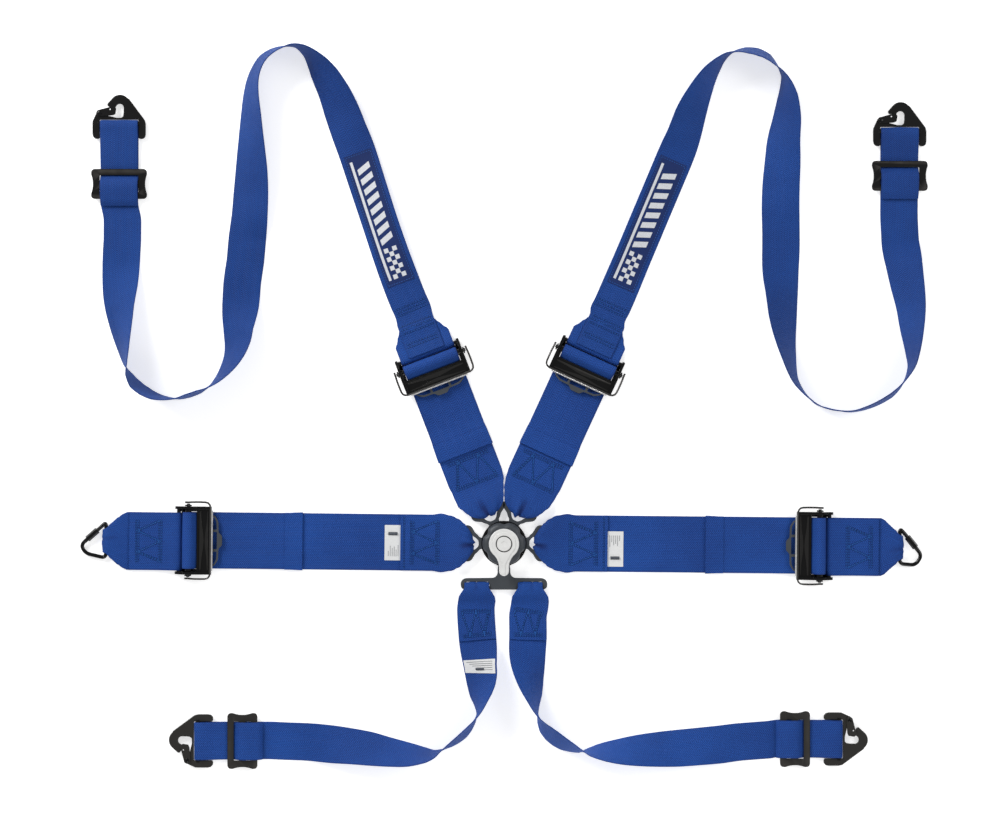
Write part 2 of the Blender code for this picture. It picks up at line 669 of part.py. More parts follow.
def build_quick_link(side, place):
    """Delta link through the anchor webbing, with its threaded sleeve."""
    path = [(x, y, LINK_HEIGHT) for x, y in LINK_CORNERS[side]]
    ring = rod(rounded(path, 4.0, 3), LINK_R, 8, closed=True)
    add_object(f"lap_quick_link_{side}", ring, "black steel", place)
    one, two = Vector(path[1]), Vector(path[2])
    along = (two - one).normalized()
    middle = one.lerp(two, SLEEVE_SHARE)
    tube = slab([ring_points(4.4, 6), ring_points(LINK_R + 0.35, 12)], -9.0, 9.0)
    turn = along.to_track_quat("Z", "Y").to_matrix().to_4x4()
    bmesh.ops.transform(tube, matrix=Matrix.Translation(middle) @ turn,
                        verts=tube.verts)
    add_object(f"lap_link_sleeve_{side}", tube, "black steel", place)


# ------------------------------------------------------------ hooks, sliders


def build_hook(key):
    """Flat snap hook with a round webbing bar, and its sprung gate."""
    point, heading, slider, _ = HOOKS[key]
    place = placed(point, heading)
    window = [(-27.0, 23.4), (27.0, 23.4), (27.0, 28.4), (-27.0, 28.4)]
    outline = [
        (27.0, 0.6), (31.0, 0.0), (35.0, 3.0), (35.5, 8.0), (35.5, 21.0),
        (34.7, 24.0), (13.4, 53.4), *ring_points(13.5, 6, (1.2, 45.6), 42, 96),
        (-15.7, 47.0), (-15.2, 44.2), (-13.0, 42.8), (-8.0, 43.4),
        *ring_points(6.2, 6, (0.4, 42.0), 172.5, -165),
        (7.6, 36.0), (7.0, 33.4), (4.6, 32.0), (-6.0, 32.0), (-20.0, 32.2),
        (-22.0, 37.5), (-25.0, 39.0), (-28.5, 37.5), (-31.0, 32.5),
        (-35.5, 23.0), (-35.5, 8.0), (-34.4, 3.0), (-31.0, 0.4), (-27.0, 1.0),
        (-27.0, 15.0), (-24.0, 16.2), (24.0, 16.2), (27.0, 15.0),
    ]
    hook = add_object(f"{key}_hook", slab([outline, window], HOOK_LOW, HOOK_HIGH),
                      "black steel", place)
    bar = rod([(-28.5, HOOK_BAR_AT, HOOK_HEIGHT), (28.5, HOOK_BAR_AT, HOOK_HEIGHT)],
              HOOK_BAR_R, 12)
    throat = block((-26.9, 14.0, 0.0), (26.9, 28.3, 12.0))
    pin = turned([(2.0, HOOK_LOW + 1.0), (2.0, 9.9)], 12)
    bmesh.ops.translate(pin, verts=pin.verts, vec=(*GATE_PIVOT, 0.0))
    cut = add_object(f"{key}_hook_throat", throat, "black steel", place, cutter=True)
    adds = [
        add_object(f"{key}_hook_bar", bar, "black steel", place, cutter=True),
        add_object(f"{key}_hook_pin", pin, "black steel", place, cutter=True),
    ]
    combine(hook, [cut], "DIFFERENCE")
    combine(hook, adds, "UNION")

    x, y = GATE_PIVOT
    gate = [*ring_points(4.4, 6, GATE_PIVOT, 90, 150), (x + 3.0, y - 3.4),
            (-9.0, 32.6), (-6.2, 34.6), (-4.2, 41.6), (-7.0, 44.6)]
    bm = slab([gate, ring_points(2.4, 12, GATE_PIVOT)], HOOK_HIGH + 0.35, 9.6)
    bmesh.ops.translate(bm, verts=bm.verts, vec=(-x, -y, 0.0))
    add_object(f"{key}_hook_gate", bm, "black steel", placed(point, heading, GATE_PIVOT))

    half = [(37.2, -16.5), (36.6, -18.4), (34.5, -20.0)]
    waist = [(37.2, -14.0), (35.8, -8.0), (35.0, 0.0), (35.8, 8.0), (37.2, 14.0)]
    right = list(reversed(half)) + waist + [(x, -y) for x, y in half]
    outline = right + [(-x, -y) for x, y in right]
    windows = [
        rounded([(-27, a), (27, a), (27, b), (-27, b)], 1.4, 2)
        for a, b in ((-11.5, -4.2), (4.2, 11.5))
    ]
    bm = slab([outline, *windows], SLIDER_LOW, SLIDER_HIGH)
    add_object(f"{key}_slider", bm, "black steel",
               placed(point, heading, (0.0, slider)))


# ------------------------------------------------------------ crotch straps


def build_crotch_strap(side):
    """Narrow webbing round a slot of the T-plate, along the floor, to the hook."""
    key = f"crotch_{side}"
    x = {"left": -36.2, "right": 34.8}[side]
    place = placed((x, 0.0), CROTCH_ANGLE)
    route = route_stations(ROUTES[key], NARROW, 11.0)
    sewn = next(i for i, s in enumerate(route) if s.point.y < -136)
    fold = list(reversed(offset(route[:sewn], PLY + 0.5)))
    tip = arc_profile(CROTCH_BAR, CROTCH_LOOP_R, 90, 180, 7)
    tip = [(y, z, 34.0) for y, z in tip]
    loop = fitting_stations(place, [
        (77, 4.8, 48), (71, 8.4, 42), (65, 10.9, 36), *tip,
        (65, 3.2, 36), (71, 2.3, 42), (77, 1.2, 48)], NARROW)
    stations = fold + loop + route + hook_end(key)
    ribbon(f"crotch_strap_{side}", stations, "webbing")
    if side == "left":
        first = min(range(len(route)), key=lambda i: abs(route[i].point.y + 156))
        patch = resized(offset(route[first:first + 3], PATCH_LIFT), CROTCH_TAG_WIDTH)
        ribbon("crotch_tag_left", patch, "tag", TAG_THICKNESS)


def build_lap_tag(side, place, run):
    """White care tag sewn on the lap strap just outside the fold."""
    start = -run - TONGUE_BAR_AT
    profile = [(start + d, FLOOR_PLY + PATCH_LIFT) for d in LAP_TAG_SPAN]
    stations = fitting_stations(place, profile, LAP_TAG_WIDTH, LAP_TAG_MIDDLE[side])
    ribbon(f"lap_tag_{side}", stations, "tag", TAG_THICKNESS)


def build():
    """Build every piece of the harness."""
    for thing in list(bpy.data.objects):
        bpy.data.objects.remove(thing)
    build_buckle()
    build_crotch_plate()
    for side in ("left", "right"):
        build_tongue(f"shoulder_tongue_{side}", SHOULDER_ANGLES[side])
        build_tongue(f"lap_tongue_{side}", LAP_ANGLES[side])
        place, _, _ = strap_frame("shoulder", side)
        build_main_strap("shoulder", side, fold_at=139.0, hem_at=130.4)
        build_adjuster(f"shoulder_{side}", place)
        build_connector(side, place)
        build_upper_strap(side, place)
        place, run, _ = strap_frame("lap", side)
        build_main_strap("lap", side, fold_at=138.0, hem_at=268.0)
        build_adjuster(f"lap_{side}", place)
        build_lap_anchor(side, place)
        build_quick_link(side, place)
        build_lap_tag(side, place, run)
        build_crotch_strap(side)
    for key in HOOKS:
        build_hook(key)


build()
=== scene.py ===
"""Look model of a six-point racing harness laid flat on a pale floor.

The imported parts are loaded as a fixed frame.  The webbing, its stitching, the
buckle and the strap fittings are then made again in finer meshes, each riding
on the body of the part that it stands for.

Lengths in the tables are millimetres.  A fitting's own frame has +Y outward
along its strap, +X to the right of that heading and +Z up.
"""
from __future__ import annotations

import json
import logging
import math
from dataclasses import dataclass, field
from enum import Enum
from typing import Iterable, Sequence

import bmesh
import bpy
from mathutils import Matrix, Vector, noise

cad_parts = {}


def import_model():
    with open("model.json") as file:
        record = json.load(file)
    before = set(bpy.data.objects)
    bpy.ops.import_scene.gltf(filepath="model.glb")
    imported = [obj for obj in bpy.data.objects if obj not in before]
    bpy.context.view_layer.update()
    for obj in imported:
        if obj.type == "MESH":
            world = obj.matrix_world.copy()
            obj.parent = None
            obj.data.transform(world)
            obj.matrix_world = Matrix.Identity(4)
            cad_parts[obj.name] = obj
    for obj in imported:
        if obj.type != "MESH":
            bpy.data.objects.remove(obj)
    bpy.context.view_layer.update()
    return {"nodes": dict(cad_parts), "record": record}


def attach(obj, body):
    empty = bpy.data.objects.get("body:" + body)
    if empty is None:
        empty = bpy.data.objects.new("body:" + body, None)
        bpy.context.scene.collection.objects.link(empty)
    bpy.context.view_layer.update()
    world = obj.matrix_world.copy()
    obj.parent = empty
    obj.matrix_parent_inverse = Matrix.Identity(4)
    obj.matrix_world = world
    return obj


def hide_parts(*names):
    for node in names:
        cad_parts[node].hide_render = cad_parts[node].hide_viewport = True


LOG = logging.getLogger("harness")
MM = 0.001
Point2 = tuple[float, float]
Outline = list[Point2]
Ring = list[bmesh.types.BMVert]

# webbing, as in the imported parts
WIDE, NARROW, PLY = 75.0, 50.0, 1.6
FLOOR_PLY = PLY / 2
SECOND_PLY = FLOOR_PLY + PLY + 0.5
THIRD_PLY = SECOND_PLY + PLY + 0.5
SHOWN_PLY = 1.45  # thickness of the webbing that shows
TONGUE_BAR_AT = 52.0
TONGUE_LOW, TONGUE_HIGH = 6.0, 8.5
SHOULDER_ANGLES = {"left": 116.0, "right": 64.0}
LAP_ANGLES = {"left": 180.0, "right": 0.0}
CROTCH_ANGLE = 270.0
GATHER = {"shoulder": (66.0, 56.5, 48.0), "lap": (72.0, 63.0, 50.0)}
ROLL_HEIGHT, ROLL_R = 10.5, 7.2
CONNECTOR_BAR = (13.4, 5.0)
CONNECTOR_BAR_R = 2.6
HOOK_BAR = (20.5, 5.4)
HOOK_BAR_R = 2.9
HOOK_LOW, HOOK_HIGH = 3.6, 7.2
GATE_PIVOT = (-25.5, 34.5)
SLIDER_LOW, SLIDER_HIGH = 5.2, 7.6
LINK_HEIGHT, LINK_R = 5.0, 2.6
LINK_AT = {"left": 110.0, "right": 107.0}
LINK_TIP_WIDTHS = (33.0, 32.0, 31.0, 30.0, 31.0, 32.0, 33.0)
SLEEVE_SHARE = 0.42
CROTCH_BAR = (59.3, 7.25)
CROTCH_LOOP_R = 4.0
LEVER_LOW, LEVER_HIGH, LEVER_REACH = 20.4, 24.4, 42.6
LATCH_HOLE = (2.8, 18.0)  # radius and distance of the hole in each latch head
ROUNDED_FROM = 35.0  # smallest angle of an edge that a bevel rounds, in degrees

ROLL_POINTS = {
    "shoulder_left": (-97.0, 240.5), "shoulder_right": (112.8, 242.4),
    "lap_left": (-419.6, 4.1), "lap_right": (419.6, -3.4),
}
# hook point, heading, slider and tail distances
HOOKS = {
    "shoulder_left": ((-512.0, 537.6), 90.0, -59.6, -88.0),
    "shoulder_right": ((526.5, 527.9), 90.0, -39.2, -69.2),
    "crotch_left": ((-386.7, -263.0), 180.0, -38.7, -64.7),
    "crotch_right": ((425.0, -260.5), 0.0, -37.9, -62.5),
}
LINK_CORNERS = {
    "left": [(23.0, 110.0), (16.0, 117.0), (-8.0, 143.5), (-19.0, 137.0),
             (-25.0, 110.0)],
    "right": [(-24.0, 107.0), (-18.5, 112.5), (11.5, 136.5), (24.5, 128.5),
              (23.0, 107.0)],
}
# webbing that lies free: x, y and the roll of its width out of the floor
ROUTES = {
    "shoulder_left": [
        (-121, 308, 0), (-132, 334, 0), (-148, 377, 10), (-164, 424, 15),
        (-180, 473, 12), (-196, 522, 6), (-206, 548, 13), (-216, 575, 20),
        (-227, 601, 35), (-241.5, 626, 49), (-260, 649, 75), (-274, 657.5, 90),
        (-287, 659, 99), (-314, 648, 109), (-329, 626, 112), (-334.6, 600, 118),
        (-335.3, 573, 126), (-335.4, 546, 134), (-335.3, 520, 143),
        (-335.4, 491, 154), (-336.7, 462, 163), (-338.6, 433, 168),
        (-342, 405, 180), (-344.6, 376, 180), (-348.6, 348, 180),
        (-350.5, 319, 175), (-352.6, 289, 150), (-353.5, 271, 141),
        (-359, 248, 125), (-373, 225, 109), (-387, 211, 98), (-398, 204, 90),
        (-413, 198, 86.5), (-434, 192, 90), (-462, 195.4, 99),
        (-486, 210, 101.5), (-497, 227, 90), (-500, 235, 79),
        (-504.6, 264, 61), (-508, 292, 44), (-510.7, 320, 28),
        (-510.5, 348, 11), (-510, 376, 0), (-508.6, 405, 0), (-508.7, 433, 0),
    ],
    "shoulder_right": [
        (138, 303, 0), (149, 327, 0), (165.5, 366, -10), (181.5, 404, -12),
        (197.5, 442, -12), (213.5, 480, -12), (228.6, 516, -12),
        (239, 542, -24), (248, 570, -33), (259, 596, -48), (273, 622, -64),
        (289, 641, -81), (298, 647, -90), (315, 653, -105), (344, 648, -111),
        (363, 630, -100), (370, 618, -90), (374.6, 595, -67),
        (374.6, 564.5, -49), (371, 536, -37), (370, 507, -26),
        (368.5, 478, -17), (368, 449, -11), (369, 419.5, 0), (369, 391, 0),
        (368, 361, 11), (369, 332, 26), (370, 303, 36), (372.6, 274, 49),
        (378, 244, 63), (387, 214, 76), (409, 188, 86), (429, 179, 86.5),
        (452, 175.6, 90), (469, 177, 94.6), (496, 187, 99), (521, 204, 100.4),
        (538, 231, 90), (540.6, 258.5, 74.5), (540, 287, 60), (539, 315, 49),
        (535, 344, 37), (531, 373, 25), (528, 402, 0), (526.5, 431, 0),
    ],
    "crotch_left": [
        (-37.3, -85, 0), (-37.2, -97, 0), (-35.4, -124, 0), (-32, -160, -26),
        (-30.6, -179, -34), (-33.5, -206, -63), (-36, -227, -90),
        (-52, -251, -105), (-72, -267, -101.5), (-89, -276, -90),
        (-97, -279, -80), (-125, -279, -60), (-152, -276, -48),
        (-179, -272, -35), (-206, -269, -26), (-234, -267, -11),
        (-261, -265, 0), (-288, -264, 0), (-311, -263, 0),
    ],
    "crotch_right": [
        (34, -85, 0), (32, -96, 0), (32, -123, 0), (31.4, -150, 16),
        (35, -178, 42), (40, -201, 63), (45, -226, 90), (56.6, -247, 113),
        (77, -264, 116), (101, -274, 102), (109, -275, 90), (128, -275, 72),
        (153, -275, 56), (180, -274, 42), (207, -273, 31), (233.5, -272, 21),
        (260.5, -270, 16), (287, -268, 8), (314, -265, 0), (353, -262, 0),
    ],
}


class Slot(Enum):
    """The record's material slots."""

    WEBBING = "blue webbing"
    LABEL = "navy label"
    TAG = "white tag"
    STEEL = "black steel"
    ALLOY = "dark alloy"
    SATIN = "satin steel"


# ------------------------------------------------------------------ finishes


class NodeTree:
    """A small builder for a material's node tree."""

    def __init__(self, name: str) -> None:
        """Start a material with only its output and Principled shader.

        Args:
            name: The material's name.
        """
        self.material = bpy.data.materials.new(name)
        self.material.use_nodes = True
        self.tree = self.material.node_tree
        self.shader = self.tree.nodes["Principled BSDF"]

    def add(self, kind: str, **settings: object) -> bpy.types.Node:
        """Add a node and set its attributes and named or numbered inputs.

        Args:
            kind: Node type without the ShaderNode prefix.
            **settings: Attributes; keys starting with in_ set inputs by index.

        Returns:
            The new node.
        """
        node = self.tree.nodes.new("ShaderNode" + kind)
        for key, value in settings.items():
            if key.startswith("in_"):
                node.inputs[int(key[3:])].default_value = value
            else:
                setattr(node, key, value)
        return node

    def link(self, source: object, target: object) -> None:
        """Link an output socket to an input socket."""
        self.tree.links.new(source, target)

    def math(self, operation: str, a: object, b: object = 0.0) -> object:
        """A Math node on two sockets or numbers.

        Args:
            operation: Blender's name of the operation.
            a: First socket or number.
            b: Second socket or number.

        Returns:
            The result's socket.
        """
        node = self.add("Math", operation=operation)
        for i, value in enumerate((a, b)):
            if isinstance(value, (int, float)):
                node.inputs[i].default_value = value
            else:
                self.link(value, node.inputs[i])
        return node.outputs[0]

    def ramp(self, source: object, stops: Sequence[tuple]) -> object:
        """A colour ramp over a socket.

        Args:
            source: The socket that drives the ramp.
            stops: (position, colour) pairs, in order.

        Returns:
            The colour socket.
        """
        node = self.add("ValToRGB")
        ramp = node.color_ramp
        while len(ramp.elements) < len(stops):
            ramp.elements.new(0.5)
        for element, (place, colour) in zip(ramp.elements, stops):
            element.position = place
            element.color = (*colour, 1.0)
        self.link(source, node.inputs[0])
        return node.outputs[0]

    def noise(self, scale: float, detail: float, vector: object = None) -> object:
        """A noise texture's factor.

        Args:
            scale: Noise scale, per metre for object coordinates.
            detail: Octaves.
            vector: Coordinates; the object's own if left out.

        Returns:
            The factor socket.
        """
        node = self.add("TexNoise", in_2=scale, in_3=detail)
        if vector is None:
            vector = self.add("TexCoord").outputs["Object"]
        self.link(vector, node.inputs["Vector"])
        return node.outputs["Fac"]

    def bump(self, height: object, strength: float, distance: float) -> None:
        """Feed a height socket to the shader's normal through a Bump node."""
        node = self.add("Bump")
        node.inputs["Strength"].default_value = strength
        node.inputs["Distance"].default_value = distance
        self.link(height, node.inputs["Height"])
        self.link(node.outputs[0], self.shader.inputs["Normal"])

    def fix(self, **values: object) -> None:
        """Set constants on the shader's own sockets, by name with underscores."""
        for key, value in values.items():
            self.shader.inputs[key.replace("_", " ")].default_value = value


@dataclass(frozen=True)
class WovenFinish:
    """Woven polyester: fine ribs along the strap crossed by a diagonal twill."""

    name: str
    deep: tuple[float, float, float]
    bright: tuple[float, float, float]
    column: float = 0.0062  # width of one slant of the herringbone, metres
    twill: float = 0.0027  # spacing of its diagonal lines, metres
    rib: float = 0.0021  # spacing of the lengthwise ribs, metres
    pick: float = 0.0011  # spacing of the cross threads, metres
    relief: float = 0.00030
    contrast: float = 0.46
    sheen: float = 0.12

    def build(self) -> bpy.types.Material:
        """Make the material.

        Returns:
            The material, laid out in metres by the mesh's UV map.
        """
        tree = NodeTree(self.name)
        uv = tree.add("UVMap", uv_map="Webbing").outputs[0]
        parts = tree.add("SeparateXYZ")
        tree.link(uv, parts.inputs[0])
        across, along = parts.outputs[0], parts.outputs[1]
        two_pi = 2 * math.pi
        slant = tree.math("MULTIPLY", tree.math("PINGPONG", across, self.column), 0.9)
        slant = tree.math("ADD", slant, along)
        lines = tree.math("SINE", tree.math("MULTIPLY", slant, two_pi / self.twill))
        ribs = tree.math("SINE", tree.math("MULTIPLY", across, two_pi / self.rib))
        picks = tree.math("SINE", tree.math("MULTIPLY", along, two_pi / self.pick))
        weave = tree.math("MULTIPLY", lines, 0.6)
        weave = tree.math("ADD", weave, tree.math("MULTIPLY", ribs, 0.25))
        weave = tree.math("ADD", weave, tree.math("MULTIPLY", picks, 0.15))
        # The outer edges get a flatter weave, which is the selvedge's own, and a darker
        # tone, which is painted shade of the rounded edge.
        edge = tree.add("Attribute", attribute_name="selvedge_and_edge_shade").outputs["Fac"]
        flat = tree.math("SUBTRACT", 1.0, tree.math("MULTIPLY", edge, 0.7))
        weave = tree.math("MULTIPLY", weave, flat)
        fine = tree.add("Mapping", in_3=(620.0, 420.0, 1.0))
        tree.link(uv, fine.inputs[0])
        yarn = tree.noise(1.0, 2.0, fine.outputs[0])
        cloud = tree.noise(9.0, 3.0)
        tone = tree.math("MULTIPLY", weave, self.contrast)
        tone = tree.math("ADD", tone, tree.math("MULTIPLY", yarn, 0.42))
        tone = tree.math("ADD", tone, tree.math("MULTIPLY", cloud, 0.60))
        # Painted shade: darken the rounded outer edges.
        tone = tree.math("SUBTRACT", tone, tree.math("MULTIPLY", edge, 0.14))
        # Painted shade: darken the webbing along the middle fold of its gathers, where
        # shade falls.
        painted_crease_shade = tree.add("Attribute", attribute_name="painted_crease_shade").outputs["Fac"]
        tone = tree.math("SUBTRACT", tone, tree.math("MULTIPLY", painted_crease_shade, 0.60))
        colour = tree.ramp(tone, [(0.10, self.deep), (1.0, self.bright)])
        tree.link(colour, tree.shader.inputs["Base Color"])
        rough = tree.math("ADD", tree.math("MULTIPLY", yarn, 0.14), 0.66)
        tree.link(rough, tree.shader.inputs["Roughness"])
        tree.fix(Sheen_Weight=self.sheen, Sheen_Roughness=0.4,
                 Sheen_Tint=(*self.bright, 1.0), Specular_IOR_Level=0.3)
        tree.bump(weave, 0.8, self.relief)
        return tree.material


@dataclass(frozen=True)
class ThreadFinish:
    """Twisted sewing thread."""

    name: str
    colour: tuple[float, float, float]

    def build(self) -> bpy.types.Material:
        """Make the material."""
        tree = NodeTree(self.name)
        twist = tree.noise(1400.0, 2.0)
        dark = tuple(0.7 * c for c in self.colour)
        tree.link(tree.ramp(twist, [(0.3, dark), (0.7, self.colour)]),
                  tree.shader.inputs["Base Color"])
        tree.fix(Roughness=0.6, Specular_IOR_Level=0.2)
        tree.bump(twist, 0.4, 0.0002)
        return tree.material


@dataclass(frozen=True)
class MetalFinish:
    """Coated or bare metal with a fine texture and lighter worn edges."""

    name: str
    colour: tuple[float, float, float]
    worn: tuple[float, float, float]
    metallic: float
    rough_low: float
    rough_high: float
    grain: float = 700.0
    relief: float = 0.00006
    coat: float = 0.0
    gloss: float = 0.5
    brushed: bool = False

    def build(self) -> bpy.types.Material:
        """Make the material.

        Returns:
            The material; its edges lighten where the surface is most convex.
        """
        tree = NodeTree(self.name)
        grain = tree.noise(self.grain, 3.0)
        patch = tree.noise(90.0, 3.0)
        convex = tree.add("NewGeometry").outputs["Pointiness"]
        edge = tree.ramp(convex, [(0.53, (0, 0, 0)), (0.66, (1, 1, 1))])
        wear = tree.math("MULTIPLY", edge, tree.math("MULTIPLY", patch, 0.45))
        mix = tree.add("Mix", data_type="RGBA")
        tree.link(wear, mix.inputs[0])
        shade = tuple(0.92 * c for c in self.colour)
        tree.link(tree.ramp(patch, [(0.3, shade), (0.7, self.colour)]), mix.inputs[6])
        mix.inputs[7].default_value = (*self.worn, 1.0)
        tree.link(mix.outputs[2], tree.shader.inputs["Base Color"])
        span = self.rough_high - self.rough_low
        rough = tree.math("ADD", tree.math("MULTIPLY", patch, span), self.rough_low)
        tree.link(rough, tree.shader.inputs["Roughness"])
        tree.fix(Metallic=self.metallic, Coat_Weight=self.coat, Coat_Roughness=0.15,
                 Specular_IOR_Level=self.gloss)
        height = grain
        if self.brushed:
            turned = tree.add("Mapping", in_3=(2600.0, 120.0, 120.0))
            tree.link(tree.add("TexCoord").outputs["Object"], turned.inputs[0])
            height = tree.noise(1.0, 2.0, turned.outputs[0])
        tree.bump(height, 0.25, self.relief)
        return tree.material


@dataclass(frozen=True)
class FloorFinish:
    """Plain pale studio table, lit softly from within."""

    name: str = "studio floor"
    glow: float = 0.54

    def build(self) -> bpy.types.Material:
        """Make the material."""
        tree = NodeTree(self.name)
        tone = tree.noise(3.0, 2.0)
        stops = [(0.0, (0.88, 0.88, 0.88)), (1.0, (0.92, 0.92, 0.92))]
        tree.link(tree.ramp(tone, stops), tree.shader.inputs["Base Color"])
        tree.fix(Roughness=0.9, Specular_IOR_Level=0.1,
                 Emission_Color=(1.0, 1.0, 1.0, 1.0), Emission_Strength=self.glow)
        return tree.material


class Finishes:
    """Every finish of the harness, made once."""

    def __init__(self) -> None:
        """Build the materials."""
        self.webbing = WovenFinish("blue webbing", (0.0010, 0.0160, 0.122),
                                   (0.0130, 0.0980, 0.450)).build()
        # Painted shade: a copy of the blue webbing about 14% darker for the long
        # shoulder straps, standing in for the shade on their runs.
        self.shaded_long_webbing = WovenFinish("blue webbing with painted shade", (0.0008, 0.0135, 0.102),
                                        (0.0105, 0.0840, 0.390)).build()
        self.label = WovenFinish("navy label", (0.0035, 0.0140, 0.080),
                                 (0.0090, 0.0330, 0.165), twill=0.0012,
                                 column=0.002, relief=0.0001).build()
        self.tag = WovenFinish("white tag", (0.66, 0.67, 0.68), (0.88, 0.88, 0.87),
                               column=0.0015, twill=0.0007, relief=0.00005,
                               contrast=0.1).build()
        self.stitch = ThreadFinish("blue thread", (0.022, 0.125, 0.47)).build()
        # Painted shade: a dark blue for the thin bands laid under the stitches,
        # standing in for the shade in the dent of each seam.
        self.seam_shade = ThreadFinish("painted seam shade", (0.0018, 0.0185, 0.120)).build()
        self.white_thread = ThreadFinish("white thread", (0.78, 0.80, 0.84)).build()
        self.ink = ThreadFinish("grey ink", (0.10, 0.11, 0.13)).build()
        self.steel = MetalFinish("black steel", (0.0022, 0.0022, 0.0024),
                                 (0.08, 0.076, 0.07), 0.0, 0.14, 0.22,
                                 coat=0.2, gloss=0.25).build()
        self.gloss_black = MetalFinish("gloss black steel", (0.0045, 0.0043, 0.0042),
                                       (0.12, 0.11, 0.10), 0.0, 0.16, 0.24,
                                       coat=0.25, gloss=0.3).build()
        # Painted highlight: a lighter, glossier copy of the black steel for the raised
        # waisted pressing; its lighter colour stands in for the light that the raised
        # faces catch.
        self.waist = MetalFinish("black steel with painted highlight", (0.010, 0.0095, 0.009),
                                 (0.15, 0.14, 0.13), 0.0, 0.14, 0.22,
                                 coat=0.35, gloss=0.4).build()
        self.pressed = MetalFinish("pressed black steel", (0.0165, 0.0150, 0.0128),
                                   (0.07, 0.063, 0.055), 0.0, 0.34, 0.42,
                                   coat=0.15).build()
        self.alloy = MetalFinish("dark alloy", (0.050, 0.057, 0.066),
                                 (0.13, 0.13, 0.135), 0.1, 0.47, 0.54,
                                 grain=1500.0, relief=0.00009).build()
        self.satin = MetalFinish("satin steel", (0.86, 0.86, 0.845),
                                 (0.94, 0.94, 0.93), 0.12, 0.30, 0.38,
                                 brushed=True).build()
        # Painted highlight: a light grey metal for the grip bar, standing in for the
        # bright reflection along a glossy black bar.
        self.bright = MetalFinish("grip bar painted highlight", (0.60, 0.59, 0.57),
                                  (0.85, 0.84, 0.82), 0.35, 0.2, 0.32).build()
        self.wire = MetalFinish("plated wire", (0.055, 0.053, 0.051),
                                (0.30, 0.29, 0.28), 0.45, 0.16, 0.26).build()
        self.floor = FloorFinish().build()
        self.by_slot = {
            Slot.WEBBING: self.webbing, Slot.LABEL: self.label,
            Slot.TAG: self.tag, Slot.STEEL: self.steel,
            Slot.ALLOY: self.alloy, Slot.SATIN: self.satin,
        }


# ------------------------------------------------------------------ geometry


def ring_points(radius: float, count: int, centre: Point2 = (0.0, 0.0),
                start: float = 0.0, sweep: float = 360.0) -> Outline:
    """Points on a circle or arc; a full circle doesn't repeat its first.

    Args:
        radius: The circle's radius.
        count: How many points.
        centre: Its centre.
        start: Angle of the first point, in degrees.
        sweep: Angle from the first point to the last, in degrees.

    Returns:
        The points.
    """
    steps = count if abs(sweep) >= 360.0 else count - 1
    angles = [math.radians(start + sweep * i / steps) for i in range(count)]
    return [(centre[0] + radius * math.cos(a), centre[1] + radius * math.sin(a))
            for a in angles]


def box(x0: float, y0: float, x1: float, y1: float) -> Outline:
    """A rectangle's corners, anticlockwise from its low one."""
    return [(x0, y0), (x1, y0), (x1, y1), (x0, y1)]


def rounded(corners: Sequence[Sequence[float]], radius: float,
            steps: int = 5) -> list[tuple[float, ...]]:
    """Round each corner of a closed outline.

    Args:
        corners: The outline's corners, in the plane or in space.
        radius: Distance cut back along each side, limited to its half.
        steps: Segments in each corner.

    Returns:
        The rounded outline.
    """
    points = [Vector(c) for c in corners]
    out: list[tuple[float, ...]] = []
    for i, corner in enumerate(points):
        back = points[i - 1] - corner
        ahead = points[(i + 1) % len(points)] - corner
        start = corner + back.normalized() * min(radius, back.length * 0.49)
        end = corner + ahead.normalized() * min(radius, ahead.length * 0.49)
        for k in range(steps + 1):
            t = k / steps
            out.append(tuple(start * (1 - t) ** 2 + corner * 2 * t * (1 - t)
                             + end * t * t))
    return out


def slab(outlines: Sequence[Sequence[Point2]], low: float,
         high: float) -> bmesh.types.BMesh:
    """A flat plate from an outer outline and the outlines of its holes.

    Args:
        outlines: The outer outline, then the holes.
        low: Height of its underside.
        high: Height of its top.

    Returns:
        The plate.
    """
    bm = bmesh.new()
    edges = []
    for outline in outlines:
        verts = [bm.verts.new((p[0], p[1], low)) for p in outline]
        edges += [bm.edges.new((verts[i - 1], verts[i])) for i in range(len(verts))]
    bmesh.ops.triangle_fill(bm, use_beauty=True, edges=edges)
    bmesh.ops.dissolve_limit(bm, angle_limit=0.01, verts=bm.verts, edges=bm.edges)
    made = bmesh.ops.extrude_face_region(bm, geom=list(bm.faces))
    top = [v for v in made["geom"] if isinstance(v, bmesh.types.BMVert)]
    bmesh.ops.translate(bm, verts=top, vec=(0.0, 0.0, high - low))
    return bm


def skin(bm: bmesh.types.BMesh, rings: Sequence[Ring], closed: bool = False) -> None:
    """Join rings of vertices with faces, one after another, and close the ends.

    Args:
        bm: The mesh that holds them.
        rings: The rings, all of one length.
        closed: Whether the last ring joins the first, instead of end faces.
    """
    pairs = list(zip(rings, rings[1:]))
    if closed:
        pairs.append((rings[-1], rings[0]))
    for one, two in pairs:
        for i in range(len(one)):
            bm.faces.new((one[i - 1], one[i], two[i], two[i - 1]))
    if not closed:
        bm.faces.new(rings[0])
        bm.faces.new(rings[-1])


def mirrored(half: Sequence[Sequence[float]]) -> list[tuple[float, ...]]:
    """An outline or path from its right half, completed across x = 0."""
    return [*half, *((-p[0], *p[1:]) for p in reversed(half))]


def turned(profile: Sequence[Point2], sides: int,
           wave: float = 0.0, lobes: int = 0) -> bmesh.types.BMesh:
    """A solid turned about z.

    Args:
        profile: (radius, height) points from one end to the other.
        sides: Segments round the axis.
        wave: Depth of the scallops cut into every radius, as a fraction.
        lobes: How many scallops go round.

    Returns:
        The solid, closed at both ends.
    """
    bm = bmesh.new()
    rings = []
    for radius, height in profile:
        ring = []
        for i in range(sides):
            a = 2 * math.pi * i / sides
            r = radius * (1 - wave * (0.5 - 0.5 * math.cos(lobes * a)) ** 3)
            ring.append(bm.verts.new((r * math.cos(a), r * math.sin(a), height)))
        rings.append(ring)
    skin(bm, rings)
    return bm


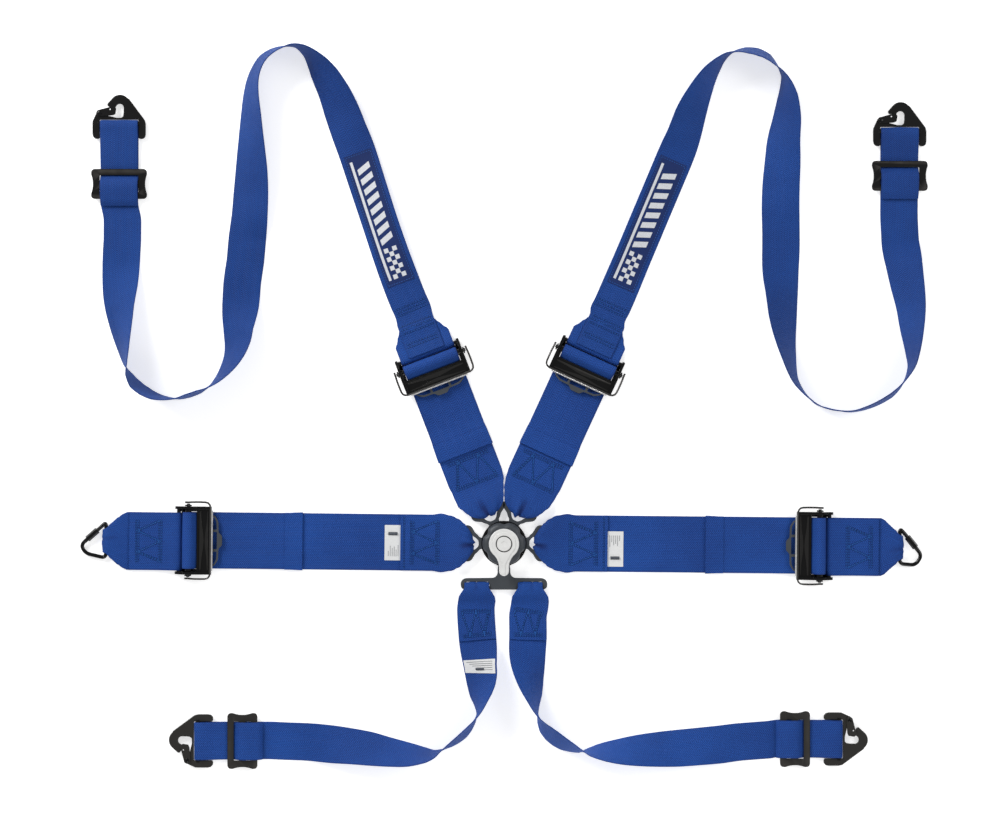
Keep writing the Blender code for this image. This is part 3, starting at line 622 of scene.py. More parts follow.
def rod(points: Sequence[Sequence[float]], radius: float, sides: int = 12,
        closed: bool = False, bm: bmesh.types.BMesh | None = None) -> bmesh.types.BMesh:
    """A round wire along a path.

    Args:
        points: The path.
        radius: Wire radius.
        sides: Segments round the wire.
        closed: Whether the path is a ring.
        bm: A mesh to add to; a new one if left out.

    Returns:
        The mesh.
    """
    path = [Vector(p) for p in points]
    bm = bm or bmesh.new()
    rings = []
    side: Vector | None = None
    last = len(path) - 1
    for i, point in enumerate(path):
        before = path[i - 1] if closed or i else point
        after = path[(i + 1) % len(path)] if closed or i < last else point
        along = (after - before).normalized()
        if side is None:
            helper = Vector((0, 0, 1)) if abs(along.z) < 0.9 else Vector((1, 0, 0))
            side = along.cross(helper)
        side = (side - along * side.dot(along)).normalized()
        other = along.cross(side)
        rings.append([bm.verts.new(point + side * x + other * y)
                      for x, y in ring_points(radius, sides)])
    skin(bm, rings, closed)
    return bm


def merge(parts: Iterable[bmesh.types.BMesh]) -> bmesh.types.BMesh:
    """Put several meshes into one, as separate shells."""
    whole = bmesh.new()
    for part in parts:
        mesh = bpy.data.meshes.new("shell")
        part.to_mesh(mesh)
        part.free()
        whole.from_mesh(mesh)
        bpy.data.meshes.remove(mesh)
    return whole


def placed(point: Point2, heading: float, pivot: Point2 = (0.0, 0.0)) -> Matrix:
    """A fitting's frame: +Y along the heading, origin at the point, in metres."""
    turn = Matrix.Rotation(math.radians(heading - 90.0), 4, "Z")
    shift = Matrix.Translation(Vector((point[0], point[1], 0.0)) * MM)
    return shift @ turn @ Matrix.Translation(Vector((*pivot, 0.0)) * MM)


def finish_mesh(name: str, bm: bmesh.types.BMesh, material: bpy.types.Material,
                place: Matrix | None = None, bevel: float = 0.0,
                segments: int = 3, smooth: float = 40.0) -> bpy.types.Object:
    """Turn a mesh in millimetres into a placed object in metres.

    Args:
        name: The piece's name.
        bm: The mesh, which is used up.
        material: Its finish.
        place: Its frame; the floor's if left out.
        bevel: Width of the rounding on sharp edges, in millimetres.
        segments: Segments in that rounding.
        smooth: Largest angle between faces that shade as one, in degrees.

    Returns:
        The object, with its place in its mesh.
    """
    bmesh.ops.recalc_face_normals(bm, faces=bm.faces)
    bmesh.ops.scale(bm, vec=(MM, MM, MM), verts=bm.verts)
    if place is not None:
        bmesh.ops.transform(bm, matrix=place, verts=bm.verts)
    mesh = bpy.data.meshes.new(name)
    bm.to_mesh(mesh)
    bm.free()
    mesh.shade_smooth()
    mesh.set_sharp_from_angle(angle=math.radians(smooth))
    thing = bpy.data.objects.new(name, mesh)
    bpy.context.collection.objects.link(thing)
    mesh.materials.append(material)
    if bevel:
        rounding = thing.modifiers.new("Bevel", "BEVEL")
        rounding.width = bevel * MM
        rounding.segments = segments
        rounding.limit_method = "ANGLE"
        rounding.angle_limit = math.radians(ROUNDED_FROM)
        rounding.harden_normals = True
    return thing


# ------------------------------------------------------------------- webbing


@dataclass
class Station:
    """A cross-section of webbing: its middle, width vector and width in mm."""

    point: Vector
    across: Vector
    width: float


def fitting_stations(place: Matrix, profile: Sequence[Sequence[float]],
                     width: float, shift: float = 0.0) -> list[Station]:
    """Stations from (distance, height[, width]) points in a fitting's frame."""
    across = place.to_3x3() @ Vector((1, 0, 0))
    out = []
    for entry in profile:
        point = place @ (Vector((shift, entry[0], entry[1])) * MM) / MM
        out.append(Station(point, across.copy(), entry[2] if len(entry) > 2 else width))
    return out


def smooth_route(route: Sequence[Sequence[float]], spacing: float) -> list[Vector]:
    """Evenly spaced points on a Catmull-Rom curve through a route's points."""
    points = [Vector(p) for p in route]
    ends = [points[0] * 2 - points[1], *points, points[-1] * 2 - points[-2]]
    dense = []
    for a, b, c, d in zip(ends, ends[1:], ends[2:], ends[3:]):
        for k in range(12):
            t = k / 12
            dense.append((b * 2 + (c - a) * t + (a * 2 - b * 5 + c * 4 - d) * t * t
                          + (b * 3 - a - c * 3 + d) * t ** 3) * 0.5)
    dense.append(points[-1])
    lengths = [0.0]
    for one, two in zip(dense, dense[1:]):
        lengths.append(lengths[-1] + (two.xy - one.xy).length)
    count = round(lengths[-1] / spacing)
    out, i = [], 0
    for k in range(count + 1):
        want = lengths[-1] * k / count
        while i < len(dense) - 2 and lengths[i + 1] < want:
            i += 1
        t = (want - lengths[i]) / max(lengths[i + 1] - lengths[i], 1e-9)
        out.append(dense[i].lerp(dense[i + 1], min(t, 1.0)))
    return out


def route_stations(key: str, width: float, spacing: float = 15.0) -> list[Station]:
    """Stations along webbing that lies free on the floor, rolled on its edge."""
    samples = smooth_route(ROUTES[key], spacing)
    stations = []
    for i, sample in enumerate(samples):
        before = samples[max(i - 1, 0)]
        after = samples[min(i + 1, len(samples) - 1)]
        along = (after - before).xy.normalized()
        roll = math.radians(sample.z)
        right = Vector((along.y, -along.x, 0.0))
        across = right * math.cos(roll) + Vector((0, 0, 1)) * math.sin(roll)
        height = width / 2 * abs(math.sin(roll)) + PLY / 2 * abs(math.cos(roll))
        stations.append(Station(Vector((sample.x, sample.y, height)), across, width))
    return stations


def lifted(stations: Sequence[Station], distance: float) -> list[Station]:
    """The same stations moved along the webbing's face normal."""
    out = []
    last = len(stations) - 1
    for i, one in enumerate(stations):
        step = stations[min(i + 1, last)].point - stations[max(i - 1, 0)].point
        normal = one.across.cross(step).normalized()
        out.append(Station(one.point + normal * distance, one.across, one.width))
    return out


def lay_out(bm: bmesh.types.BMesh, where: dict[bmesh.types.BMVert, Point2]) -> None:
    """Write each vertex's place on the flat webbing, in metres, to the UV map."""
    uv = bm.loops.layers.uv.active
    for one in bm.faces:
        for loop in one.loops:
            loop[uv].uv = where[loop.vert]


@dataclass
class Webbing:
    """A strip of webbing that bends smoothly through its stations."""

    name: str
    stations: list[Station]
    flat_width: float
    spacing: float = 4.0
    thickness: float = SHOWN_PLY
    seed: int = 1
    ripple: float = 0.35
    pleats: float = 1.0
    lobe_depth: float = 11.0  # of the gathers, where fully drawn together
    crease_depth: float = 7.0
    crown_height: float = 0.25
    end_fade: float = 20.0  # length over which the ripples die out at each end
    samples: list[tuple[Vector, Vector, Vector, float]] = field(default_factory=list)
    arc: list[float] = field(default_factory=list)

    def __post_init__(self) -> None:
        """Sample the smooth curve through the stations."""
        count = len(self.stations)
        points = [s.point for s in self.stations]
        gaps = [(b - a).length for a, b in zip(points, points[1:])]
        ways = [(b - a).normalized() for a, b in zip(points, points[1:])]
        tangents = [ways[0]]
        for i in range(1, count - 1):
            mixed = ways[i - 1] * gaps[i] + ways[i] * gaps[i - 1]
            tangents.append(mixed.normalized())
        tangents.append(ways[-1])
        raw = []
        for i in range(count - 1):
            one, two = self.stations[i], self.stations[i + 1]
            steps = max(1, math.ceil(gaps[i] / self.spacing))
            for k in range(steps + (i == count - 2)):
                t = k / steps
                point = (one.point * (2 * t ** 3 - 3 * t ** 2 + 1)
                         + tangents[i] * gaps[i] * (t ** 3 - 2 * t ** 2 + t)
                         + two.point * (3 * t ** 2 - 2 * t ** 3)
                         + tangents[i + 1] * gaps[i] * (t ** 3 - t ** 2))
                ease = t * t * (3 - 2 * t)
                across = one.across.lerp(two.across, t).normalized()
                raw.append((point, across, one.width + (two.width - one.width) * ease))
        for i, (point, across, width) in enumerate(raw):
            step = raw[min(i + 1, len(raw) - 1)][0] - raw[max(i - 1, 0)][0]
            normal = across.cross(step).normalized()
            self.samples.append((point, across, normal, width))
            self.arc.append(self.arc[-1] + (point - raw[i - 1][0]).length if i else 0.0)

    @property
    def length(self) -> float:
        """Length along the middle, in millimetres."""
        return self.arc[-1]

    def gather(self, width: float) -> float:
        """How far the webbing is drawn together where it is this wide."""
        return min(0.34, max(0.0, 1 - width / self.flat_width - 0.05))

    def valley(self, share: float) -> float:
        """Depth of the middle fold, from 0 to 1, at a place across the strap."""
        return math.exp(-((share - 0.16 * math.sin(self.seed * 2.3)) / 0.13) ** 2)

    def relief(self, s: float, share: float, width: float, facing: float) -> float:
        """Height of the webbing's own ripples and gathers.

        Args:
            s: Distance along the strap, in millimetres.
            share: Place across it, from -1 to 1.
            width: The strap's width there.
            facing: How far its first face looks up, from -1 to 1.

        Returns:
            The height along the first face's normal, in millimetres.
        """
        up = max(-1.0, min(1.0, facing * 4 + 0.2))
        wander = noise.noise(Vector((s / 46.0, share * 1.3, self.seed * 7.1)))
        gather = self.gather(width)
        lobes = (1 - share * share) * (1 - self.valley(share))
        creases = noise.noise(Vector((s / 40.0, share * 2.6, self.seed * 3.7)))
        depth = self.pleats * (1.0 if facing < 0.3 else 0.12)
        folds = (lobes * self.lobe_depth + creases * self.crease_depth) * gather * depth
        crown = (1 - share * share) * self.crown_height
        fade = min(1.0, s / self.end_fade, (self.length - s) / self.end_fade)
        level = folds + crown
        waves = wander * self.ripple * max(0.0, fade)
        if facing < 0.3 and gather > 0:
            return waves - abs(level)
        return waves + level * up

    def at(self, s: float, v: float, lift: float = 0.0) -> Vector:
        """A point on the webbing's face.

        Args:
            s: Distance along the strap, in millimetres.
            v: Distance across from the middle, in millimetres.
            lift: Height over the face that looks up.

        Returns:
            The point, in millimetres.
        """
        s = min(max(s, 0.0), self.length)
        low, high = 0, len(self.arc) - 1
        while high - low > 1:
            middle = (low + high) // 2
            if self.arc[middle] <= s:
                low = middle
            else:
                high = middle
        t = (s - self.arc[low]) / max(self.arc[high] - self.arc[low], 1e-9)
        one, two = self.samples[low], self.samples[high]
        point = one[0].lerp(two[0], t)
        across, normal = one[1].lerp(two[1], t), one[2].lerp(two[2], t)
        width = one[3] + (two[3] - one[3]) * t
        share = 2 * v / width
        height = self.relief(s, max(-1.0, min(1.0, share)), width, normal.z)
        side = 1 if normal.z >= 0 else -1
        out = height + side * (self.thickness / 2 + lift)
        return point + across * v + normal * out

    def build(self, material: bpy.types.Material) -> bpy.types.Object:
        """Make the strip as one closed mesh with its UV map in metres.

        Args:
            material: The woven finish.

        Returns:
            The object.
        """
        inner = [i / 9 * 0.93 for i in range(-9, 10)]
        shares = [-1.0, -0.97, *inner, 0.97, 1.0]
        bm = bmesh.new()
        bm.loops.layers.uv.new("Webbing")
        edge = bm.verts.layers.float.new("selvedge_and_edge_shade")
        painted_crease_shade = bm.verts.layers.float.new("painted_crease_shade")
        where: dict[bmesh.types.BMVert, Point2] = {}
        rings = []
        for s, (point, across, normal, width) in zip(self.arc, self.samples):
            ring = []
            for face in (1, -1):
                order = shares if face > 0 else shares[::-1]
                for share in order:
                    height = self.relief(s, share, width, normal.z)
                    outer = abs(share) > 0.99
                    half = self.thickness / 2 * (0.45 if outer else 1.0)
                    spot = point + across * (share * width / 2)
                    vert = bm.verts.new(spot + normal * (height + face * half))
                    # Marks the outer edges, for their flatter weave and for the painted
                    # shade on their rounding.
                    vert[edge] = 1.0 if abs(share) > 0.95 else 0.0
                    # Painted shade: where the face doesn't look up, store how dark the
                    # middle fold of a gather is to be painted.
                    if normal.z < 0.3:
                        fold = max(0.0, self.gather(width) - 0.08) * 4.0
                        vert[painted_crease_shade] = self.pleats * fold * self.valley(share)
                    where[vert] = (share * self.flat_width / 2 * MM, s * MM)
                    ring.append(vert)
            rings.append(ring)
        skin(bm, rings)
        lay_out(bm, where)
        return finish_mesh(self.name, bm, material, smooth=55.0)

    def strip(self, name: str, s0: float, s1: float, half: float, lift: float,
              thickness: float, material: bpy.types.Material,
              middle: float = 0.0) -> bpy.types.Object:
        """A thin piece that lies on the webbing's face and follows it.

        Args:
            name: The piece's name.
            s0: Where it starts along the strap.
            s1: Where it ends.
            half: Half its width.
            lift: Gap under it.
            thickness: Its thickness.
            material: Its finish.
            middle: Its middle, across the strap.

        Returns:
            The object.
        """
        steps = max(2, round((s1 - s0) / self.spacing))
        bm = bmesh.new()
        bm.loops.layers.uv.new("Webbing")
        where: dict[bmesh.types.BMVert, Point2] = {}
        rings = []
        for k in range(steps + 1):
            s = s0 + (s1 - s0) * k / steps
            ring = []
            for raised, sign in ((1, 1), (0, -1)):
                for share in (-1.0 * sign, -0.5 * sign, 0.0, 0.5 * sign, 1.0 * sign):
                    v = middle + share * half
                    vert = bm.verts.new(self.at(s, v, lift + raised * thickness))
                    where[vert] = (v * MM, s * MM)
                    ring.append(vert)
            rings.append(ring)
        skin(bm, rings)
        lay_out(bm, where)
        return finish_mesh(name, bm, material)

    def stitch_line(self, path: Sequence[Point2], bm: bmesh.types.BMesh,
                    pitch: float = 3.6, radius: float = 0.42) -> None:
        """Add a row of stitches along a path of (s, v) points on the face.

        Args:
            path: The row's corners, along and across the strap.
            bm: The mesh that takes the stitches.
            pitch: Distance from stitch to stitch.
            radius: Half the thread's thickness.
        """
        for (s0, v0), (s1, v1) in zip(path, path[1:]):
            run = math.hypot(s1 - s0, v1 - v0)
            count = max(1, round(run / pitch))
            for k in range(count):
                a, b = (k + 0.14) / count, (k + 0.86) / count
                spots = []
                for t, rise in ((a, 0.05), (a * 0.7 + b * 0.3, 0.36),
                                (a * 0.3 + b * 0.7, 0.36), (b, 0.05)):
                    spots.append(self.at(s0 + (s1 - s0) * t, v0 + (v1 - v0) * t, rise))
                rod(spots, radius, 5, bm=bm)

    def seam_shade_band(self, path: Sequence[Point2], bm: bmesh.types.BMesh,
                  half: float = 1.0) -> None:
        """Add a dark band of painted shade under a row of stitches, for the dent that
        it pulls into the face.

        Args:
            path: The row's corners, along and across the strap.
            bm: The mesh that takes the band.
            half: Half the band's width.
        """
        for (s0, v0), (s1, v1) in zip(path, path[1:]):
            run = math.hypot(s1 - s0, v1 - v0)
            ds, dv = (s1 - s0) / run, (v1 - v0) / run
            count = max(1, math.ceil(run / 3.0))
            rings = []
            for k in range(count + 1):
                s, v = s0 + ds * run * k / count, v0 + dv * run * k / count
                a, b = (s - dv * half, v + ds * half), (s + dv * half, v - ds * half)
                rings.append([bm.verts.new(self.at(*a, 0.10)),
                              bm.verts.new(self.at(*b, 0.10)),
                              bm.verts.new(self.at(*b, 0.0)),
                              bm.verts.new(self.at(*a, 0.0))])
            skin(bm, rings)


@dataclass
class Stitching:
    """All the rows of stitches on one strap, as one piece."""

    name: str
    row_gap: float = 3.2  # between the two rows of a doubled seam
    rows: list[tuple[Webbing, list[Point2]]] = field(default_factory=list)

    def row(self, strap: Webbing, path: Sequence[Point2]) -> None:
        """Add a row along a path of (s, v) points."""
        self.rows.append((strap, list(path)))

    def zigzag(self, strap: Webbing, s0: float, s1: float, half: float) -> None:
        """Add the load-bearing W pattern between two cross rows.

        Args:
            strap: The strap that it is sewn in.
            s0: Near end of the pattern.
            s1: Far end.
            half: Half its width.
        """
        for off in (0.0, self.row_gap):
            a, b = s0 + off, s1 - off
            self.row(strap, [(a, -half), (a, half)])
            self.row(strap, [(b, -half), (b, half)])
            corners = [(b, -half + off)]
            for i in range(1, 5):
                corners.append((a if i % 2 else b, -half + half * 0.5 * i))
            self.row(strap, corners)

    def build(self, material: bpy.types.Material,
              seam_shade: bpy.types.Material) -> bpy.types.Object:
        """Make the stitches and, under them, bands of painted shade for the seams that
        they press in.

        Args:
            material: The thread.
            seam_shade: The finish of the band under the stitches, which paints the
                shade of the seam's dent.

        Returns:
            The piece, with both finishes.
        """
        seams = bmesh.new()
        threads = bmesh.new()
        for strap, path in self.rows:
            strap.seam_shade_band(path, seams)
            strap.stitch_line(path, threads)
        bmesh.ops.recalc_face_normals(seams, faces=seams.faces)
        bmesh.ops.recalc_face_normals(threads, faces=threads.faces)
        for one in seams.faces:
            one.material_index = 1
        piece = finish_mesh(self.name, merge([threads, seams]), material)
        piece.data.materials.append(seam_shade)
        return piece


# -------------------------------------------------------------- sub-assemblies


@dataclass
class Workshop:
    """What every sub-assembly needs: the finishes and a count of its pieces."""

    finishes: Finishes
    count: int = 0

    def fit(self, piece: bpy.types.Object, body: str, slot: Slot,
            *nodes: str) -> bpy.types.Object:
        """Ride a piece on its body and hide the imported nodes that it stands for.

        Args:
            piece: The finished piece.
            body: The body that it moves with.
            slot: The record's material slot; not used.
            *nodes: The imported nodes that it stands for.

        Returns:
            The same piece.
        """
        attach(piece, body)
        if nodes:
            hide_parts(*nodes)
        self.count += 1
        LOG.info("piece %s on %s", piece.name, body)
        return piece

    def make(self, name: str, bm: bmesh.types.BMesh, material: bpy.types.Material,
             body: str, slot: Slot, *nodes: str, place: Matrix | None = None,
             bevel: float = 0.0, segments: int = 3) -> bpy.types.Object:
        """Finish a mesh as a piece and fit it.

        Args:
            name: The piece's name.
            bm: The mesh, which is used up.
            material: Its finish.
            body: The body that it moves with.
            slot: Its material slot.
            *nodes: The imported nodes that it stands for.
            place: Its frame; the floor's if left out.
            bevel: Width of the rounding on sharp edges, in millimetres.
            segments: Segments in that rounding.

        Returns:
            The piece.
        """
        piece = finish_mesh(name, bm, material, place, bevel, segments)
        return self.fit(piece, body, slot, *nodes)

    def sew(self, sewing: Stitching, body: str) -> bpy.types.Object:
        """Make and fit the stitching in its blue thread."""
        thread = sewing.build(self.finishes.stitch, self.finishes.seam_shade)
        return self.fit(thread, body, Slot.WEBBING)

    def cloth(self, strap: Webbing, piece: bpy.types.Object,
              extras: Sequence[bpy.types.Object] = ()) -> None:
        """Take a strap and its pieces and do nothing with them; no sheet of its flat
        size is declared.

        Args:
            strap: The strap, with its sampled widths; not used.
            piece: Its object; not used.
            extras: The pieces sewn on it; not used.
        """


@dataclass
class Buckle:
    """Rotary buckle: scalloped housing, lever, cap, and its inner works."""

    shop: Workshop
    housing_radius: float = 30.0
    low: float = 2.3
    scallops: int = 6
    scallop_depth: float = 0.10
    web_low: float = 22.6
    cap_low: float = 23.6
    cap_high: float = 24.9
    cap_radius: float = 9.5
    hex_radius: float = 3.4

    def build(self) -> None:
        """Make the buckle's shown pieces."""
        f = self.shop.finishes
        r = self.housing_radius
        rim = turned([(r - 1.2, self.low), (r, self.low + 1.0), (r, 9.8),
                      (r - 0.8, 10.6), (r - 3.4, 10.6), (r - 3.4, self.low)], 96)
        shell = turned([(r - 1.6, 9.0), (r - 1.3, 12.5), (r - 1.9, 15.5),
                        (r - 3.6, 18.2), (r - 6.4, 19.6), (r - 9.0, 20.0),
                        (12.0, 20.0), (12.0, 17.0)], 144,
                       self.scallop_depth, self.scallops)
        self.shop.make("buckle_housing_shell", shell, f.alloy, "buckle", Slot.ALLOY,
                       "buckle_housing", bevel=0.25)
        self.shop.make("buckle_rim", rim, f.steel, "buckle", Slot.STEEL, bevel=0.2)
        slots = []
        for angle in (*SHOULDER_ANGLES.values(), *LAP_ANGLES.values(), CROTCH_ANGLE):
            guide = slab([rounded([(-10.2, 24.0), (10.2, 24.0), (9.4, 29.2),
                                   (-9.4, 29.2)], 1.0)], 4.6, 9.9)
            bmesh.ops.transform(guide, matrix=Matrix.Rotation(
                math.radians(angle - 90), 4, "Z"), verts=guide.verts)
            slots.append(guide)
        self.shop.make("buckle_slot_guides", merge(slots), f.steel, "buckle",
                       Slot.STEEL, bevel=0.3)
        self.build_lever()

    def build_lever(self) -> None:
        """The keyhole-shaped lever, its raised inner web and the screw cap."""
        f = self.shop.finishes
        finger = 6.5
        low_arc = ring_points(20.0, 40, start=-52.0, sweep=284.0)
        neck = [(-9.6, -19.6), (-7.4, -24.5), (-finger, -29.0)]
        tip = ring_points(finger, 12, (0, -LEVER_REACH + finger), 180, 180)
        outline = low_arc + neck + tip + [(-x, y) for x, y in reversed(neck)]
        body = slab([outline], LEVER_LOW, LEVER_HIGH - 0.8)
        self.shop.make("lever_body", body, f.satin, "lever", Slot.SATIN,
                       "release_lever", bevel=1.1, segments=4)
        web = ring_points(15.4, 36, start=-48.0, sweep=276.0)
        web += [(-6.6, -17.6), (-4.2, -22.0), (-2.4, -26.0), (2.4, -26.0),
                (4.2, -22.0), (6.6, -17.6)]
        crest = rounded([(-1.5, -40.2), (1.5, -40.2), (2.0, -25.0), (-2.0, -25.0)],
                        1.2)
        for name, shape, bevel in (("lever_panel", web, 0.5),
                                   ("lever_finger_ridge", crest, 0.6)):
            self.shop.make(name, slab([shape], self.web_low, LEVER_HIGH), f.satin,
                           "lever", Slot.SATIN, bevel=bevel)
        collar = turned([(11.0, 23.0), (11.0, 24.5), (10.5, 24.9), (9.9, 24.9),
                         (9.7, 24.2)], 64)
        self.shop.make("cap_collar", collar, f.steel, "lever", Slot.STEEL,
                       "lever_badge", bevel=0.1)
        socket = ring_points(self.hex_radius, 6, start=30)
        cap = slab([ring_points(self.cap_radius, 56), socket],
                   self.cap_low, self.cap_high)
        self.shop.make("screw_cap", cap, f.satin, "lever", Slot.SATIN, bevel=0.5)
        bottom = slab([ring_points(3.9, 6, start=30)], 23.0, 23.9)
        self.shop.make("screw_socket_floor", bottom, f.steel, "lever", Slot.STEEL)


def latch_hole() -> Outline:
    """The hole in a latch head."""
    radius, distance = LATCH_HOLE
    return ring_points(radius, 20, (0, distance))


@dataclass
class Tongue:
    """A strap tongue: latch head, two flared arms and the webbing bar."""

    shop: Workshop
    kind: str
    side: str

    def build(self) -> None:
        """Make the tongue."""
        angle = (SHOULDER_ANGLES if self.kind == "shoulder" else LAP_ANGLES)[self.side]
        half = [(4.2, 11.0), (6.0, 14.5), (7.4, 20.0), (7.4, 29.6), (8.2, 32.4),
                (11.6, 35.0), (14.2, 38.4), (18.4, 40.6), (22.6, 43.4), (24.4, 47.6),
                (23.8, 52.6), (21.0, 54.6)]
        outline = mirrored(half)
        window = [(-3.4, 33.8), (3.4, 33.8), (7.2, 37.4), (9.6, 41.6), (14.6, 44.0),
                  (18.6, 46.8), (18.4, 49.4), (-18.4, 49.4), (-18.6, 46.8),
                  (-14.6, 44.0), (-9.6, 41.6), (-7.2, 37.4)]
        bm = slab([rounded(outline, 2.4, 4), rounded(window, 1.8, 3), latch_hole()],
                  TONGUE_LOW, TONGUE_HIGH)
        self.shop.make(f"{self.kind}_tongue_body_{self.side}", bm,
                       self.shop.finishes.alloy, f"{self.kind}_{self.side}_strap",
                       Slot.ALLOY, f"{self.kind}_tongue_{self.side}",
                       place=placed((0, 0), angle), bevel=0.7)


@dataclass
class CrotchPlate:
    """The T-shaped tongue for both crotch straps."""

    shop: Workshop

    def build(self) -> None:
        """Make the plate."""
        half = [(4.2, 11.0), (6.0, 14.5), (7.5, 20.0), (7.5, 30.5), (8.5, 33.0),
                (8.5, 40.0), (10.4, 44.0), (14.6, 45.9), (51.0, 46.2), (55.6, 48.2),
                (57.8, 52.6), (57.2, 58.6), (53.5, 61.6), (15.5, 61.6)]
        outline = mirrored(half)
        slots = [rounded([(s * 20.6, 51.2), (s * 50.4, 51.2), (s * 51.6, 56.8),
                          (s * 18.8, 56.8)], 1.6) for s in (-1, 1)]
        bm = slab([rounded(outline, 2.0, 4), *slots, latch_hole()],
                  TONGUE_LOW, TONGUE_HIGH)
        self.shop.make("crotch_plate_body", bm, self.shop.finishes.alloy,
                       "crotch_plate", Slot.ALLOY, "crotch_tongue_plate",
                       place=placed((0, 0), CROTCH_ANGLE), bevel=0.7)


def strap_frame(kind: str, side: str) -> tuple[Matrix, float, float]:
    """The frame at a slide bar, its distance from the tongue bar, and the angle."""
    angle = (SHOULDER_ANGLES if kind == "shoulder" else LAP_ANGLES)[side]
    point = Vector(ROLL_POINTS[f"{kind}_{side}"])
    a = math.radians(angle)
    run = point - Vector((math.cos(a), math.sin(a))) * TONGUE_BAR_AT
    heading = math.degrees(math.atan2(run.y, run.x))
    return placed(tuple(point), heading), run.length, angle


@dataclass
class MainStrap:
    """Wide webbing from a tongue, through its adjuster and back as a tail."""

    shop: Workshop
    kind: str
    side: str
    fold_at: float
    hem_at: float
    fullness: float = 1.4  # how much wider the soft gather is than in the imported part
    seam_half: float = 35.0
    hem_half: float = 37.9
    hem_thickness: float = 1.1

    def build(self) -> None:
        """Make the strap, its stitching and, on a lap strap, the care tag."""
        place, run, angle = strap_frame(self.kind, self.side)
        tongue = placed((0, 0), angle)
        far, near, bar = (w + self.fullness for w in GATHER[self.kind])
        lift = THIRD_PLY if self.fold_at > self.hem_at else SECOND_PLY
        start = -run - TONGUE_BAR_AT
        folded = fitting_stations(place, [
            (start + self.fold_at, SECOND_PLY), (start + 96, SECOND_PLY),
            (start + 84, SECOND_PLY + 0.6, far + 5)], WIDE)
        loop = fitting_stations(tongue, [
            (70, 7.6, far), (60, 9.9, near), (52, 10.1, bar), (47.0, 10.1, 39),
            (44.2, 9.6, 29), (43.2, 7.25, 24), (44.2, 4.9, 27), (47.0, 4.6, 36),
            (52, 4.6, bar), (60, 4.6, near), (70, 3.2, far)], WIDE)
        ties = max(self.hem_at, self.fold_at) + 8
        roll = ring_points(ROLL_R, 10, (0, ROLL_HEIGHT), -78, 215)
        out = fitting_stations(place, [
            (start + 84, 1.2, far + 5), (start + 96, FLOOR_PLY),
            (start + self.fold_at, FLOOR_PLY), (start + self.hem_at + 12, FLOOR_PLY),
            (-60, FLOOR_PLY), (-24, FLOOR_PLY), (-12, 1.4), *roll, (-10.2, 9.4),
            (-14.5, 6.4), (-22, 5.0), (-30, 4.6), (-46, 3.9), (-58, SECOND_PLY),
            (start + ties + 14, SECOND_PLY), (start + ties + 4, lift, WIDE + 1.4),
            (start + self.hem_at, lift, WIDE + 2.4)], WIDE)
        name = f"{self.kind}_webbing_{self.side}"
        strap = Webbing(name, folded + loop + out, WIDE, seed=len(name))
        piece = strap.build(self.shop.finishes.webbing)
        body = f"{self.kind}_{self.side}_strap"
        self.shop.fit(piece, body, Slot.WEBBING, f"{self.kind}_strap_{self.side}")
        sewing = Stitching(f"{self.kind}_stitching_{self.side}")
        near_end = self.fold_at - 127 if self.kind == "lap" else 14.0
        sewing.zigzag(strap, max(near_end, 14.0), self.fold_at - 87, 29.0)
        sewing.row(strap, [(5.0, -35.5), (5.0, 35.5)])
        for off in (8.0, 20.0):
            edge = strap.length - off
            sewing.row(strap, [(edge, -self.seam_half), (edge, self.seam_half)])
        thread = self.shop.sew(sewing, body)
        hem = strap.strip(f"{self.kind}_hem_{self.side}", strap.length - 24,
                          strap.length - 0.5, self.hem_half, 0.05,
                          self.hem_thickness, self.shop.finishes.webbing)
        self.shop.fit(hem, body, Slot.WEBBING)
        tags = self.build_tag(strap, body) if self.kind == "lap" else []
        self.shop.cloth(strap, piece, [thread, hem, *tags])

    def build_tag(self, strap: Webbing, body: str) -> list[bpy.types.Object]:
        """The white care tag just outside the fold, with plain printed rules.

        Args:
            strap: The strap that it is sewn on.
            body: The body that it moves with.

        Returns:
            The tag and its print.
        """
        middle = {"left": -0.5, "right": 7.0}[self.side]
        beyond = self.fold_at + 1.5
        low = [i for i, one in enumerate(strap.samples) if one[0].z < 1.5]
        nearest = min(low, key=lambda i: abs(strap.samples[i][0].xy.length - beyond))
        s0 = strap.arc[nearest]
        tag = strap.strip(f"lap_care_tag_{self.side}", s0, s0 + 21.0, 23.5, 0.15,
                          0.35, self.shop.finishes.tag, middle)
        self.shop.fit(tag, body, Slot.TAG, f"lap_tag_{self.side}")
        bm = bmesh.new()
        for i in range(6):
            s = s0 + 3.0 + i * 2.6
            reach = (15.0, 9.0, 13.0, 11.0, 14.0, 7.0)[i]
            rod([strap.at(s, middle - 18 + v * reach, 0.55)
                 for v in (0.0, 0.5, 1.0)], 0.28, 4, bm=bm)
        rod([strap.at(s0 + t, middle + 12, 0.5) for t in (4.0, 10.0, 16.0)],
            2.2, 4, bm=bm)
        rules = self.shop.make(f"lap_tag_rules_{self.side}", bm, self.shop.finishes.ink,
                               body, Slot.TAG)
        return [tag, rules]


